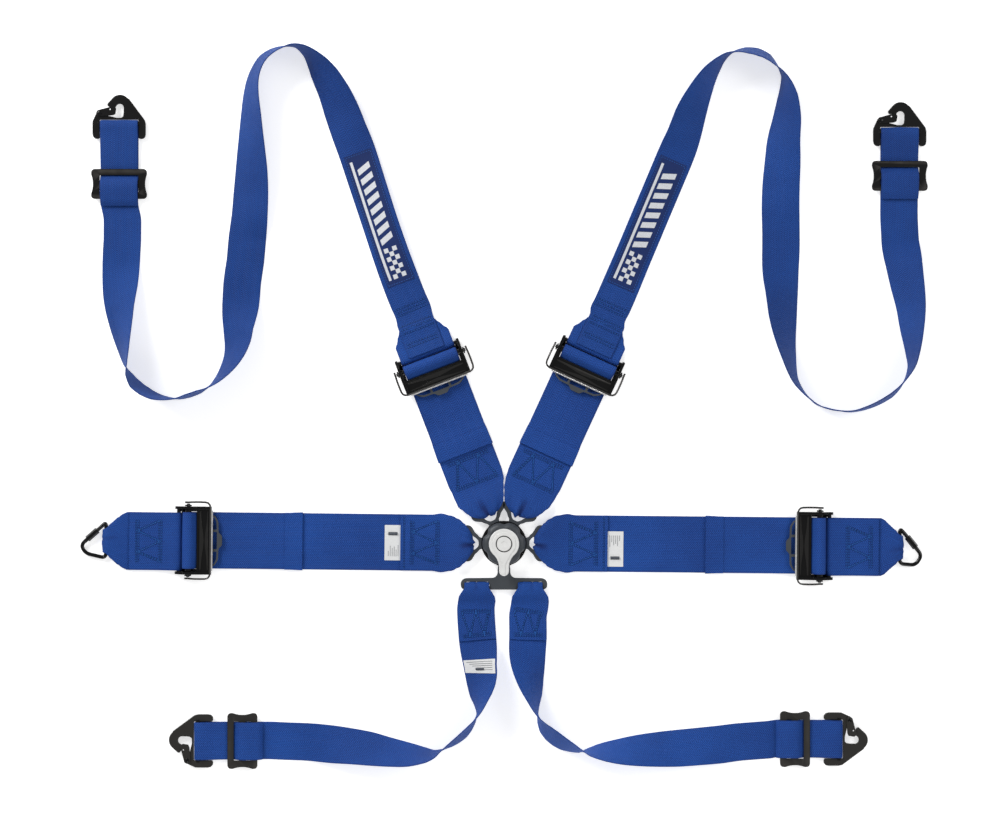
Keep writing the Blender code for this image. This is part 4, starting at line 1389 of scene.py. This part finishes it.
@dataclass
class Adjuster:
    """Strap adjuster: frame with slotted lip, slide bar and wire spring."""

    shop: Workshop
    kind: str
    side: str
    half_width: float = 42.0  # of the floor plate and the trough
    cheek_inner: float = 41.5
    cheek_outer: float = 45.2
    wire_side: float = 50.6
    wire_front: float = -29.6
    wire_radius: float = 1.3
    grip: Point2 = (-31.0, 12.1)  # distance and height of the grip bar
    grip_radius: float = 1.7
    knurls: int = 62
    knurl_pitch: float = 1.22
    bar_radius: float = 4.2
    journal_radius: float = 2.3

    def build(self) -> None:
        """Make the adjuster's three pieces and their small parts."""
        key = f"{self.kind}_{self.side}"
        body = f"{key}_strap"
        place, _, _ = strap_frame(self.kind, self.side)
        f = self.shop.finishes
        self.shop.make(f"{key}_adjuster_cheeks", self.cheeks(), f.steel, body,
                       Slot.STEEL, f"{key}_adjuster_frame", place=place, bevel=0.5)
        lip = [(-33.4, -27.5), (-33.8, -34.6), (-25.5, -39.8), (-10.5, -40.2),
               (-6.5, -44.8), (6.5, -44.8), (10.5, -40.2), (25.5, -39.8),
               (33.8, -34.6), (33.4, -27.5)]
        end = [(14.6, -32.6), (31.2, -32.6), (31.4, -34.0), (25.0, -37.2),
               (14.6, -37.8)]
        holes = [rounded(end, 1.2), rounded([(-x, y) for x, y in end], 1.2),
                 rounded([(-11.4, -38.0), (11.4, -38.0), (11.4, -32.6),
                          (-11.4, -32.6)], 1.2)]
        plate = slab([rounded(lip, 2.4), *holes], 8.2, 10.2)
        self.shop.make(f"{key}_adjuster_lip", plate, f.alloy, body, Slot.STEEL,
                       place=place, bevel=0.6)
        self.shop.make(f"{key}_adjuster_bridge", self.bridge(), f.steel, body,
                       Slot.STEEL, place=place, bevel=0.35)
        # The raised pressing takes the lighter copy of the black steel: painted
        # highlight.
        self.shop.make(f"{key}_waisted_pressing", self.pressing(), f.waist, body,
                       Slot.STEEL, place=place, bevel=0.35)
        # The grip bar's light grey is a painted highlight.
        self.shop.make(f"{key}_grip_bar", self.knurled_bar(), f.bright, body,
                       Slot.STEEL, place=place)
        self.shop.make(f"{key}_slide_bar_turned", self.slide_bar(), f.steel,
                       f"{key}_slide_bar", Slot.STEEL, f"{key}_slide_bar", place=place,
                       bevel=0.3)
        side, front = self.wire_side, self.wire_front
        half = [(-side, 4.6, ROLL_HEIGHT), (-side, 0.0, ROLL_HEIGHT),
                (-side - 0.3, -4.0, ROLL_HEIGHT + 0.6),
                (-side - 0.5, -9.0, ROLL_HEIGHT + 1.4), (-side - 0.5, -16.0, 12.6),
                (-side - 0.3, -23.0, 13.2), (-side + 0.6, front + 3.2, 13.4),
                (-side + 3.0, front + 1.0, 13.5), (-side + 6.0, front, 13.6),
                (-20.0, front, 13.6)]
        path = mirrored(half)
        self.shop.make(f"{key}_wire_spring", rod(path, self.wire_radius, 12), f.wire,
                       f"{key}_adjuster_spring", Slot.STEEL, f"{key}_adjuster_spring",
                       place=place)

    def cheeks(self) -> bmesh.types.BMesh:
        """Both side cheeks, the fixed bar of the connector webbing, and black sheets on
        the floor round the roll whose black is painted shade.
        """
        cheek = rounded([(-31, 6.4), (-31, 12.6), (-14, 15.6), (-6, 17.0), (7, 17.0),
                         (17.6, 10.6), (18.4, 6.0), (17.0, 1.4), (10, 1.0),
                         (-8, 3.0), (-24, 5.0)], 2.4)
        slot = rounded([(-4.3, 7.8), (2.8, 7.8), (2.8, 13.2), (-4.3, 13.2)], 2.0)
        parts = []
        for x in (-self.cheek_outer, self.cheek_inner):
            bm = slab([cheek, slot], 0.0, self.cheek_outer - self.cheek_inner)
            upright = Matrix(((0, 0, 1, x), (1, 0, 0, 0), (0, 1, 0, 0), (0, 0, 0, 1)))
            bmesh.ops.transform(bm, matrix=upright, verts=bm.verts)
            parts.append(bm)
        y, z = CONNECTOR_BAR
        parts.append(rod([(-43.0, y, z), (43.0, y, z)], CONNECTOR_BAR_R, 20))
        half = self.half_width
        # Black sheets on the floor, a plate behind the roll and a flange at each end of
        # it: they stand for the frame's base, and their black in the gaps round the
        # roll is painted shade.
        parts.append(slab([box(-half, 3.0, half, 10.4)], 0.15, 0.9))
        for x in (-45.0, 38.3):
            gap_shade_flange = rounded(box(x, -28.0, x + 6.7, 16.5), 1.2)
            parts.append(slab([gap_shade_flange], 0.15, 0.9))
        return merge(parts)

    def bridge(self) -> bmesh.types.BMesh:
        """The cross bar's deep black trough between its wall and rim."""
        half = self.half_width
        trough = slab([rounded(box(-half, -28.6, half, -11.6), 1.2)], 9.9, 11.2)
        wall = slab([rounded(box(-half - 1, -31.0, half + 1, -27.2), 1.2)], 7.7, 12.8)
        rim = slab([rounded(box(-half - 1, -14.2, half + 1, -11.4), 1.0)], 10.4, 12.4)
        return merge([trough, wall, rim])

    @staticmethod
    def pressing() -> bmesh.types.BMesh:
        """The two raised faces that leave a waisted hollow in the trough."""
        upper = [(-40.0, -15.0), (40.0, -15.0), (39.0, -17.0), (24.0, -18.0),
                 (9.0, -20.2), (0.0, -20.8), (-9.0, -20.2), (-24.0, -18.0),
                 (-39.0, -17.0)]
        lower = [(-40.0, -26.4), (40.0, -26.4), (39.0, -25.4), (24.0, -24.6),
                 (9.0, -22.6), (0.0, -22.0), (-9.0, -22.6), (-24.0, -24.6),
                 (-39.0, -25.4)]
        return merge([slab([rounded(upper, 1.2)], 10.9, 12.2),
                      slab([rounded(lower, 1.2)], 10.9, 12.2)])

    def knurled_bar(self) -> bmesh.types.BMesh:
        """The grip bar with its slanted knurling, in a light grey that paints the
        highlight along its edge.
        """
        y, z = self.grip
        bm = rod([(-40.0, y, z), (40.0, y, z)], self.grip_radius, 16)
        reach = self.grip_radius + 0.05
        for i in range(self.knurls):
            x = -38.0 + i * self.knurl_pitch
            arc = [(x + 0.9 * t, y - reach * math.cos(t * 2.2),
                    z + reach * math.sin(t * 2.2)) for t in (-0.35, 0.1, 0.55, 1.0)]
            rod(arc, 0.24, 5, bm=bm)
        return bm

    def slide_bar(self) -> bmesh.types.BMesh:
        """The round bar with its journals and star washers."""
        bar, journal = self.bar_radius, self.journal_radius
        half = [(bar, 0.0), (bar, 41.0), (journal, 41.1), (journal, 48.4), (1.9, 48.8)]
        profile = [(r, -x) for r, x in reversed(half)][:-1] + half[1:]
        parts = [turned(profile, 28)]
        for x in (-47.4, 45.6):
            star = []
            for k in range(12):
                star += ring_points(5.0 if k % 2 else 3.1, 1, start=30.0 * k)
            parts.append(slab([star, ring_points(2.25, 16)], x, x + 1.8))
        bm = merge(parts)
        lay = Matrix(((0, 0, 1, 0), (1, 0, 0, 0), (0, 1, 0, ROLL_HEIGHT),
                      (0, 0, 0, 1)))
        bmesh.ops.transform(bm, matrix=lay, verts=bm.verts)
        return bm


def hook_end(key: str) -> list[Station]:
    """Webbing under a slider, round the hook's bar and back over the slider."""
    point, heading, slider, tail = HOOKS[key]
    loop = ring_points(HOOK_BAR_R + 0.6 + PLY / 2, 8, HOOK_BAR, -90, 180)
    middle = (SLIDER_LOW + SLIDER_HIGH) / 2
    low, high = middle - 2.7, middle + 2.7
    return fitting_stations(placed(point, heading), [
        (tail, FLOOR_PLY), (slider, FLOOR_PLY), (slider + 24, FLOOR_PLY),
        (8, FLOOR_PLY + 0.1), *loop, (8, 8.6), (slider + 30, 5.0),
        (slider + 22, low), (slider + 10.7, low), (slider + 5.0, high),
        (slider - 18, high), (slider - 22, high - 1.0), (tail, SECOND_PLY + 1.2),
    ], NARROW)


@dataclass
class UpperStrap:
    """Connector webbing, the long narrow shoulder strap and its woven label."""

    shop: Workshop
    side: str
    label_from: float
    label_length: float = 183.0
    label_half: float = 19.0
    seams: tuple[float, ...] = (14.0, 18.4, 33.6, 38.8, 44.0, 60.0, 64.4, 68.8)
    seam_half: float = 22.0

    def build(self) -> None:
        """Make the connector, the strap, their stitching and the label."""
        place, _, _ = strap_frame("shoulder", self.side)
        body = f"shoulder_{self.side}_upper"
        f = self.shop.finishes
        loop = ring_points(CONNECTOR_BAR_R + 0.4 + PLY / 2, 7, CONNECTOR_BAR, 90, 180)
        profile = [(53, SECOND_PLY, 51), (42, SECOND_PLY + 0.2, 64),
                   (34, 3.9, WIDE), (24, 6.6, WIDE), *loop, (24, FLOOR_PLY + 0.1),
                   (34, FLOOR_PLY, WIDE), (42, FLOOR_PLY, 64), (53, FLOOR_PLY, 51)]
        short = Webbing(f"shoulder_connector_{self.side}",
                        fitting_stations(place, profile, WIDE), WIDE, ripple=0.15)
        short_piece = short.build(f.webbing)
        self.shop.fit(short_piece, body, Slot.WEBBING,
                      f"shoulder_connector_webbing_{self.side}")
        self.shop.cloth(short, short_piece)
        start = fitting_stations(place, [
            (15, 10.8), (24, 8.8), (34, 6.3), (44, 5.0), (53, THIRD_PLY),
            (59, 2.6)], NARROW)
        key = f"shoulder_{self.side}"
        strap = Webbing(f"shoulder_long_webbing_{self.side}",
                        start + route_stations(key, NARROW) + hook_end(key),
                        NARROW, seed=3 if self.side == "left" else 5)
        # The long strap takes the darker copy of the webbing: painted shade.
        piece = strap.build(f.shaded_long_webbing)
        self.shop.fit(piece, body, Slot.WEBBING, f"shoulder_upper_strap_{self.side}")
        sewing = Stitching(f"shoulder_long_stitching_{self.side}")
        for s in self.seams:
            sewing.row(strap, [(s, -self.seam_half), (s, self.seam_half)])
        thread = self.shop.sew(sewing, body)
        label = self.build_label(strap, body)
        self.shop.cloth(strap, piece, [thread, label])

    def build_label(self, strap: Webbing, body: str) -> bpy.types.Object:
        """The navy label with a woven band of slanted bars and chequers.

        Args:
            strap: The strap that it is sewn on.
            body: The body that it moves with.

        Returns:
            The label.
        """
        f = self.shop.finishes
        s0 = next(a for a, one in zip(strap.arc, strap.samples)
                  if one[0].y > self.label_from)
        s1 = s0 + self.label_length
        label = strap.strip(f"shoulder_woven_label_{self.side}", s0, s1,
                            self.label_half, 0.12, 0.4, f.label)
        self.shop.fit(label, body, Slot.LABEL, f"shoulder_label_{self.side}")
        band = bmesh.new()
        for cell in self.motif():
            verts = [[], []]
            for raised in (0, 1):
                for s, v in cell:
                    spot = strap.at(s0 + s, v, 0.5 + 0.22 * raised)
                    verts[raised].append(band.verts.new(spot))
            band.faces.new(verts[1])
            band.faces.new(verts[0][::-1])
            for i in range(len(cell)):
                band.faces.new((verts[0][i - 1], verts[0][i], verts[1][i],
                                verts[1][i - 1]))
        self.shop.make(f"shoulder_label_band_{self.side}", band, f.white_thread, body,
                       Slot.LABEL)
        sewing = Stitching(f"shoulder_label_stitching_{self.side}")
        rim = [(s0 + 2, -17.6), (s0 + 2, 17.6), (s1 - 2, 17.6), (s1 - 2, -17.6),
               (s0 + 2, -17.6)]
        sewing.row(strap, rim)
        self.shop.fit(sewing.build(f.stitch, f.label), body, Slot.LABEL)
        return label

    def motif(self) -> list[Outline]:
        """Cells of the plain racing band, as (s, v) outlines on the label."""
        cells: list[Outline] = []
        for part in range(12):
            s = 8.0 + part * 13.8
            cells.append(box(s, -14.0, s + 13.8, -10.4))
        for i in range(7):
            for j in range(3):
                if (i + j) % 2 == 0:
                    s, v = 8.0 + i * 6.0, -7.0 + j * 6.0
                    cells.append(box(s, v, s + 6.0, v + 6.0))
        for i in range(8):
            s = 55.0 + i * 14.0
            cells.append([(s, -7.0), (s + 8.0, -7.0), (s + 15.0, 11.0),
                          (s + 7.0, 11.0)])
        return cells


@dataclass
class LapAnchor:
    """Anchor webbing, the quick link and its threaded sleeve."""

    shop: Workshop
    side: str
    width: float = 77.0
    link_corner: float = 6.6
    sleeve_radius: float = 4.4
    sleeve_half: float = 9.0
    thread_pitch: float = 0.9

    def build(self) -> None:
        """Make the webbing, link and sleeve."""
        place, _, _ = strap_frame("lap", self.side)
        key = f"lap_{self.side}"
        f = self.shop.finishes
        inner = ring_points(CONNECTOR_BAR_R + 0.4 + PLY / 2, 7, CONNECTOR_BAR, 90, 180)
        at = LINK_AT[self.side]
        arc = ring_points(LINK_R + 0.4 + PLY / 2, 7, (at, LINK_HEIGHT), -90, 180)
        outer = [(*p, width) for p, width in zip(arc, LINK_TIP_WIDTHS)]
        profile = [(79, THIRD_PLY, 77), (36, THIRD_PLY), (26, 6.8), *inner,
                   (26, FLOOR_PLY + 0.1), (80, FLOOR_PLY, 77), (87, FLOOR_PLY, 73),
                   (at - 12, 0.9, 54), *outer, (at - 8, 7.8, 49), (at - 15, 6.2, 62),
                   (87, 4.0, 72.5), (82.5, 2.9, 77), (46, SECOND_PLY)]
        shift = {"left": -2.0, "right": 1.0}[self.side]
        strap = Webbing(f"lap_anchor_strap_{self.side}",
                        fitting_stations(place, profile, self.width, shift), self.width,
                        ripple=0.25, pleats=0.25, seed=9)
        piece = strap.build(f.webbing)
        body = f"{key}_anchor"
        self.shop.fit(piece, body, Slot.WEBBING, f"lap_anchor_webbing_{self.side}")
        sewing = Stitching(f"lap_anchor_stitching_{self.side}")
        sewing.zigzag(strap, 9.0, 43.0, 28.0)
        thread = self.shop.sew(sewing, body)
        self.shop.cloth(strap, piece, [thread])

        path = [(x, y, LINK_HEIGHT) for x, y in LINK_CORNERS[self.side]]
        ring = rod(rounded(path, self.link_corner, 7), LINK_R, 16, closed=True)
        self.shop.make(f"{key}_delta_link", ring, f.steel, f"{key}_link", Slot.STEEL,
                       f"lap_quick_link_{self.side}", place=place)
        one, two = Vector(path[1]), Vector(path[2])
        along = (two - one).normalized()
        turn = along.to_track_quat("Z", "Y").to_matrix().to_4x4()
        seat = Matrix.Translation(one.lerp(two, SLEEVE_SHARE)) @ turn
        half = self.sleeve_half
        nut = slab([ring_points(self.sleeve_radius, 6), ring_points(LINK_R + 0.3, 24)],
                   -half, half)
        bmesh.ops.transform(nut, matrix=seat, verts=nut.verts)
        self.shop.make(f"{key}_hex_sleeve", nut, f.steel, f"{key}_link_sleeve",
                       Slot.STEEL, f"lap_link_sleeve_{self.side}", place=place,
                       bevel=0.6)
        thread_turns = bmesh.new()
        for i in range(5):
            z = half + 0.6 + i * self.thread_pitch
            coil = [seat @ Vector((x, y, z)) for x, y in ring_points(LINK_R, 18)]
            rod(coil, 0.28, 5, closed=True, bm=thread_turns)
        self.shop.make(f"{key}_link_thread", thread_turns, f.steel, f"{key}_link",
                       Slot.STEEL, place=place)


@dataclass
class CrotchStrap:
    """A narrow strap from a slot of the crotch plate to its hook."""

    shop: Workshop
    side: str
    sewn_to: float = -136.0  # floor Y where the sewn fold ends
    fold_length: float = 130.0  # more than the fold's own length
    tag_from: float = -153.0  # floor Y where the tag starts

    def build(self) -> None:
        """Make the strap, its stitching and, on the left, the care tag."""
        key = f"crotch_{self.side}"
        x = {"left": -36.2, "right": 34.8}[self.side]
        place = placed((x, 0.0), CROTCH_ANGLE)
        route = route_stations(key, NARROW, 11.0)
        sewn = next(i for i, s in enumerate(route) if s.point.y < self.sewn_to)
        fold = list(reversed(lifted(route[:sewn], PLY + 0.5)))
        far, middle = CROTCH_BAR
        tip = [(far + y * 1.7, middle + z, 33.0)
               for y, z in ring_points(CROTCH_LOOP_R, 9, start=90, sweep=180)]
        loop = fitting_stations(place, [
            (77, 4.8, 50), (71, 8.4, 48), (65, 10.9, 41), *tip,
            (65, 3.2, 38), (71, 2.3, 46), (77, 1.2, 50)], NARROW)
        strap = Webbing(f"crotch_webbing_{self.side}",
                        fold + loop + route + hook_end(key), NARROW, pleats=0.25,
                        seed=11 if self.side == "left" else 13)
        f = self.shop.finishes
        piece = strap.build(f.webbing)
        body = f"crotch_{self.side}_strap"
        self.shop.fit(piece, body, Slot.WEBBING, f"crotch_strap_{self.side}")
        sewing = Stitching(f"crotch_stitching_{self.side}")
        sewing.zigzag(strap, 5.0, 40.0, 19.0)
        thread = self.shop.sew(sewing, body)
        tags = self.build_tag(strap, body) if self.side == "left" else []
        self.shop.cloth(strap, piece, [thread, *tags])

    def build_tag(self, strap: Webbing, body: str) -> list[bpy.types.Object]:
        """The small white tag across the strap, with plain printed rules.

        Args:
            strap: The strap that it is sewn on.
            body: The body that it moves with.

        Returns:
            The tag and its print.
        """
        s0 = next(a for a, one in zip(strap.arc, strap.samples)
                  if a > self.fold_length and one[0].y < self.tag_from)
        f = self.shop.finishes
        tag = strap.strip("crotch_care_tag_left", s0, s0 + 18.0, 23.0, 0.15, 0.35,
                          f.tag)
        self.shop.fit(tag, body, Slot.TAG, "crotch_tag_left")
        bm = bmesh.new()
        for i in range(5):
            s = s0 + 3.0 + i * 2.6
            rod([strap.at(s, v, 0.55) for v in (-19.0, -10.0, 19.0 - 4 * i)], 0.28, 4,
                bm=bm)
        rod([strap.at(s0 + 12.5, v, 0.5) for v in (-6.0, 0.0, 6.0)], 1.9, 4, bm=bm)
        rules = self.shop.make("crotch_tag_rules_left", bm, f.ink, body, Slot.TAG)
        return [tag, rules]


@dataclass
class EndHook:
    """Snap hook, sprung gate and three-bar slider at a strap's end."""

    shop: Workshop
    key: str
    webbing_half: float = 25.7  # half the gap between the ears
    ear_half: float = 35.5
    window_half: float = 25.9

    def build(self) -> None:
        """Make the hook, gate and slider."""
        point, heading, slider_at, _ = HOOKS[self.key]
        place = placed(point, heading)
        f = self.shop.finishes
        kind = self.key.split("_")[0]
        black = f.gloss_black if kind == "shoulder" else f.pressed
        holder = f"{self.key}_upper" if kind == "shoulder" else f"{self.key}_strap"
        self.shop.make(f"{self.key}_hook_plate", self.plate(), black,
                       f"{self.key}_hook", Slot.STEEL, f"{self.key}_hook", place=place,
                       bevel=0.8)
        bar = merge([
            rod([(-28.5, *HOOK_BAR), (28.5, *HOOK_BAR)], HOOK_BAR_R, 20),
            self.rivet(),
        ])
        self.shop.make(f"{self.key}_hook_bar_and_rivet", bar, f.steel,
                       f"{self.key}_hook", Slot.STEEL, place=place, bevel=0.3)
        x, y = GATE_PIVOT
        gate = [*ring_points(4.4, 12, GATE_PIVOT, 90, 150), (x + 3.0, y - 4.0),
                (-8.0, 31.4), (-4.6, 33.0), (-3.4, 40.6), (-6.4, 44.0)]
        leaf = slab([rounded(gate, 0.8, 3), ring_points(2.4, 20, GATE_PIVOT),
                     ring_points(0.9, 12, (-11.5, 39.5))], HOOK_HIGH + 0.35, 9.6)
        self.shop.make(f"{self.key}_gate_leaf", leaf, black, f"{self.key}_gate",
                       Slot.STEEL, f"{self.key}_hook_gate", place=place, bevel=0.4)
        seat = placed(point, heading, (0.0, slider_at))
        self.shop.make(f"{self.key}_three_bar_slider", self.three_bar(), black, holder,
                       Slot.STEEL, f"{self.key}_slider", place=seat, bevel=0.9)

    @staticmethod
    def rivet() -> bmesh.types.BMesh:
        """The gate's domed rivet."""
        bm = turned([(2.0, 6.0), (2.0, 9.7), (2.9, 9.75), (2.6, 10.4), (1.4, 10.9)], 24)
        bmesh.ops.translate(bm, verts=bm.verts, vec=(*GATE_PIVOT, 0.0))
        return bm

    def plate(self) -> bmesh.types.BMesh:
        """The hook's pressed plate with its ears, throat and nose."""
        inner, outer = self.webbing_half, self.ear_half
        crown = ring_points(13.5, 14, (1.2, 45.6), 42, 96)
        throat = ring_points(5.4, 14, (0.8, 41.5), 172.5, -165)
        outline = [
            (inner, 1.6), (28.0, 0.2), (32.0, 0.4), (34.8, 3.0), (outer, 7.0),
            (outer, 20.0), (34.4, 25.0), (13.4, 53.4), *crown,
            (-15.7, 47.0), (-15.4, 44.4), (-13.0, 42.8), (-8.0, 43.4), *throat,
            (6.0, 35.0), (5.4, 31.0), (3.2, 28.6), (-3.0, 28.4), (-9.0, 30.0),
            (-18.0, 32.0), (-21.0, 36.0), (-23.0, 38.4), (-26.5, 39.0),
            (-29.6, 36.4), (-31.6, 32.0), (-35.3, 24.0), (-outer, 20.0),
            (-outer, 7.0), (-34.4, 3.0), (-31.6, 0.6), (-28.0, 0.2), (-inner, 1.6),
            (-inner, 25.9), (inner, 25.9),
        ]
        return slab([outline], HOOK_LOW, HOOK_HIGH)

    def three_bar(self) -> bmesh.types.BMesh:
        """The waisted slider with its two webbing windows."""
        quarter = [(37.2, -15.5), (36.4, -18.4), (33.6, -20.0)]
        waist = [(37.2, -13.0), (35.6, -8.0), (34.8, -3.0), (34.8, 3.0),
                 (35.6, 8.0), (37.2, 13.0)]
        right = list(reversed(quarter)) + waist + [(x, -y) for x, y in quarter]
        outline = right + [(-x, -y) for x, y in right]
        half = self.window_half
        windows = [rounded(box(-half, a, half, b), 1.2)
                   for a, b in ((-11.5, -4.2), (4.2, 11.5))]
        return slab([rounded(outline, 1.6, 3), *windows], SLIDER_LOW, SLIDER_HIGH)


# ----------------------------------------------------------------------- set


@dataclass
class Studio:
    """The floor, the soft lights and the camera straight above."""

    finishes: Finishes
    centre: Point2 = (-5.3, 164.0)
    field_width: float = 1333.0
    lens: float = 85.0

    def build(self) -> None:
        """Make the set."""
        bm = bmesh.new()
        bmesh.ops.create_grid(bm, x_segments=2, y_segments=2, size=6000.0)
        floor = finish_mesh("studio_floor", bm, self.finishes.floor)
        world = bpy.data.worlds.new("soft studio")
        world.use_nodes = True
        backdrop = world.node_tree.nodes["Background"]
        backdrop.inputs[0].default_value = (1.0, 1.0, 1.0, 1.0)
        backdrop.inputs[1].default_value = 0.28
        bpy.context.scene.world = world
        self.softbox("key_light", (-2.3, 2.4, 1.9), 1.7, 112.0)
        self.softbox("fill_light", (2.4, 0.9, 1.9), 1.6, 30.0)
        self.softbox("front_light", (0.2, -2.4, 1.6), 1.6, 27.0)
        data = bpy.data.cameras.new("camera")
        data.lens = self.lens
        data.sensor_width = 36.0
        data.clip_end = 50.0
        camera = bpy.data.objects.new("camera", data)
        height = self.field_width * MM * self.lens / data.sensor_width
        camera.location = (self.centre[0] * MM, self.centre[1] * MM, height)
        bpy.context.collection.objects.link(camera)
        bpy.context.scene.camera = camera
        bpy.context.scene.view_settings.view_transform = "Standard"

    def softbox(self, name: str, at: tuple[float, float, float], size: float,
                power: float) -> None:
        """A square area light aimed at the harness.

        Args:
            name: The light's name.
            at: Its place, in metres.
            size: Its side, in metres.
            power: Its power, in watts.
        """
        data = bpy.data.lights.new(name, "AREA")
        data.size = size
        data.energy = power
        lamp = bpy.data.objects.new(name, data)
        lamp.location = at
        aim = Vector((self.centre[0] * MM, self.centre[1] * MM, 0.0)) - Vector(at)
        lamp.rotation_euler = aim.to_track_quat("-Z", "Y").to_euler()
        bpy.context.collection.objects.link(lamp)


def dress_inner_nodes(frame: dict, finishes: Finishes) -> None:
    """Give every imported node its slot's finish.

    Args:
        frame: The loaded frame.
        finishes: The finishes.
    """
    slots = {entry["node"]: entry["material_slot"]
             for entry in frame["record"]["subparts"]}
    for name, node in frame["nodes"].items():
        material = finishes.by_slot[Slot(slots[name])]
        node.data.materials.clear()
        node.data.materials.append(material)


def main() -> None:
    """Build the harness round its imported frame."""
    logging.basicConfig(level=logging.INFO, format="%(name)s: %(message)s")
    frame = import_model()
    finishes = Finishes()
    shop = Workshop(finishes)
    dress_inner_nodes(frame, finishes)
    Studio(finishes).build()
    Buckle(shop).build()
    CrotchPlate(shop).build()
    for side in ("left", "right"):
        for kind, fold, hem in (("shoulder", 139.0, 130.4), ("lap", 138.0, 268.0)):
            Tongue(shop, kind, side).build()
            MainStrap(shop, kind, side, fold, hem).build()
            Adjuster(shop, kind, side).build()
        UpperStrap(shop, side, {"left": 346.0, "right": 338.0}[side]).build()
        LapAnchor(shop, side).build()
        CrotchStrap(shop, side).build()
    for key in HOOKS:
        EndHook(shop, key).build()
    LOG.info("%d pieces made", shop.count)


if __name__ == "__main__":
    main()
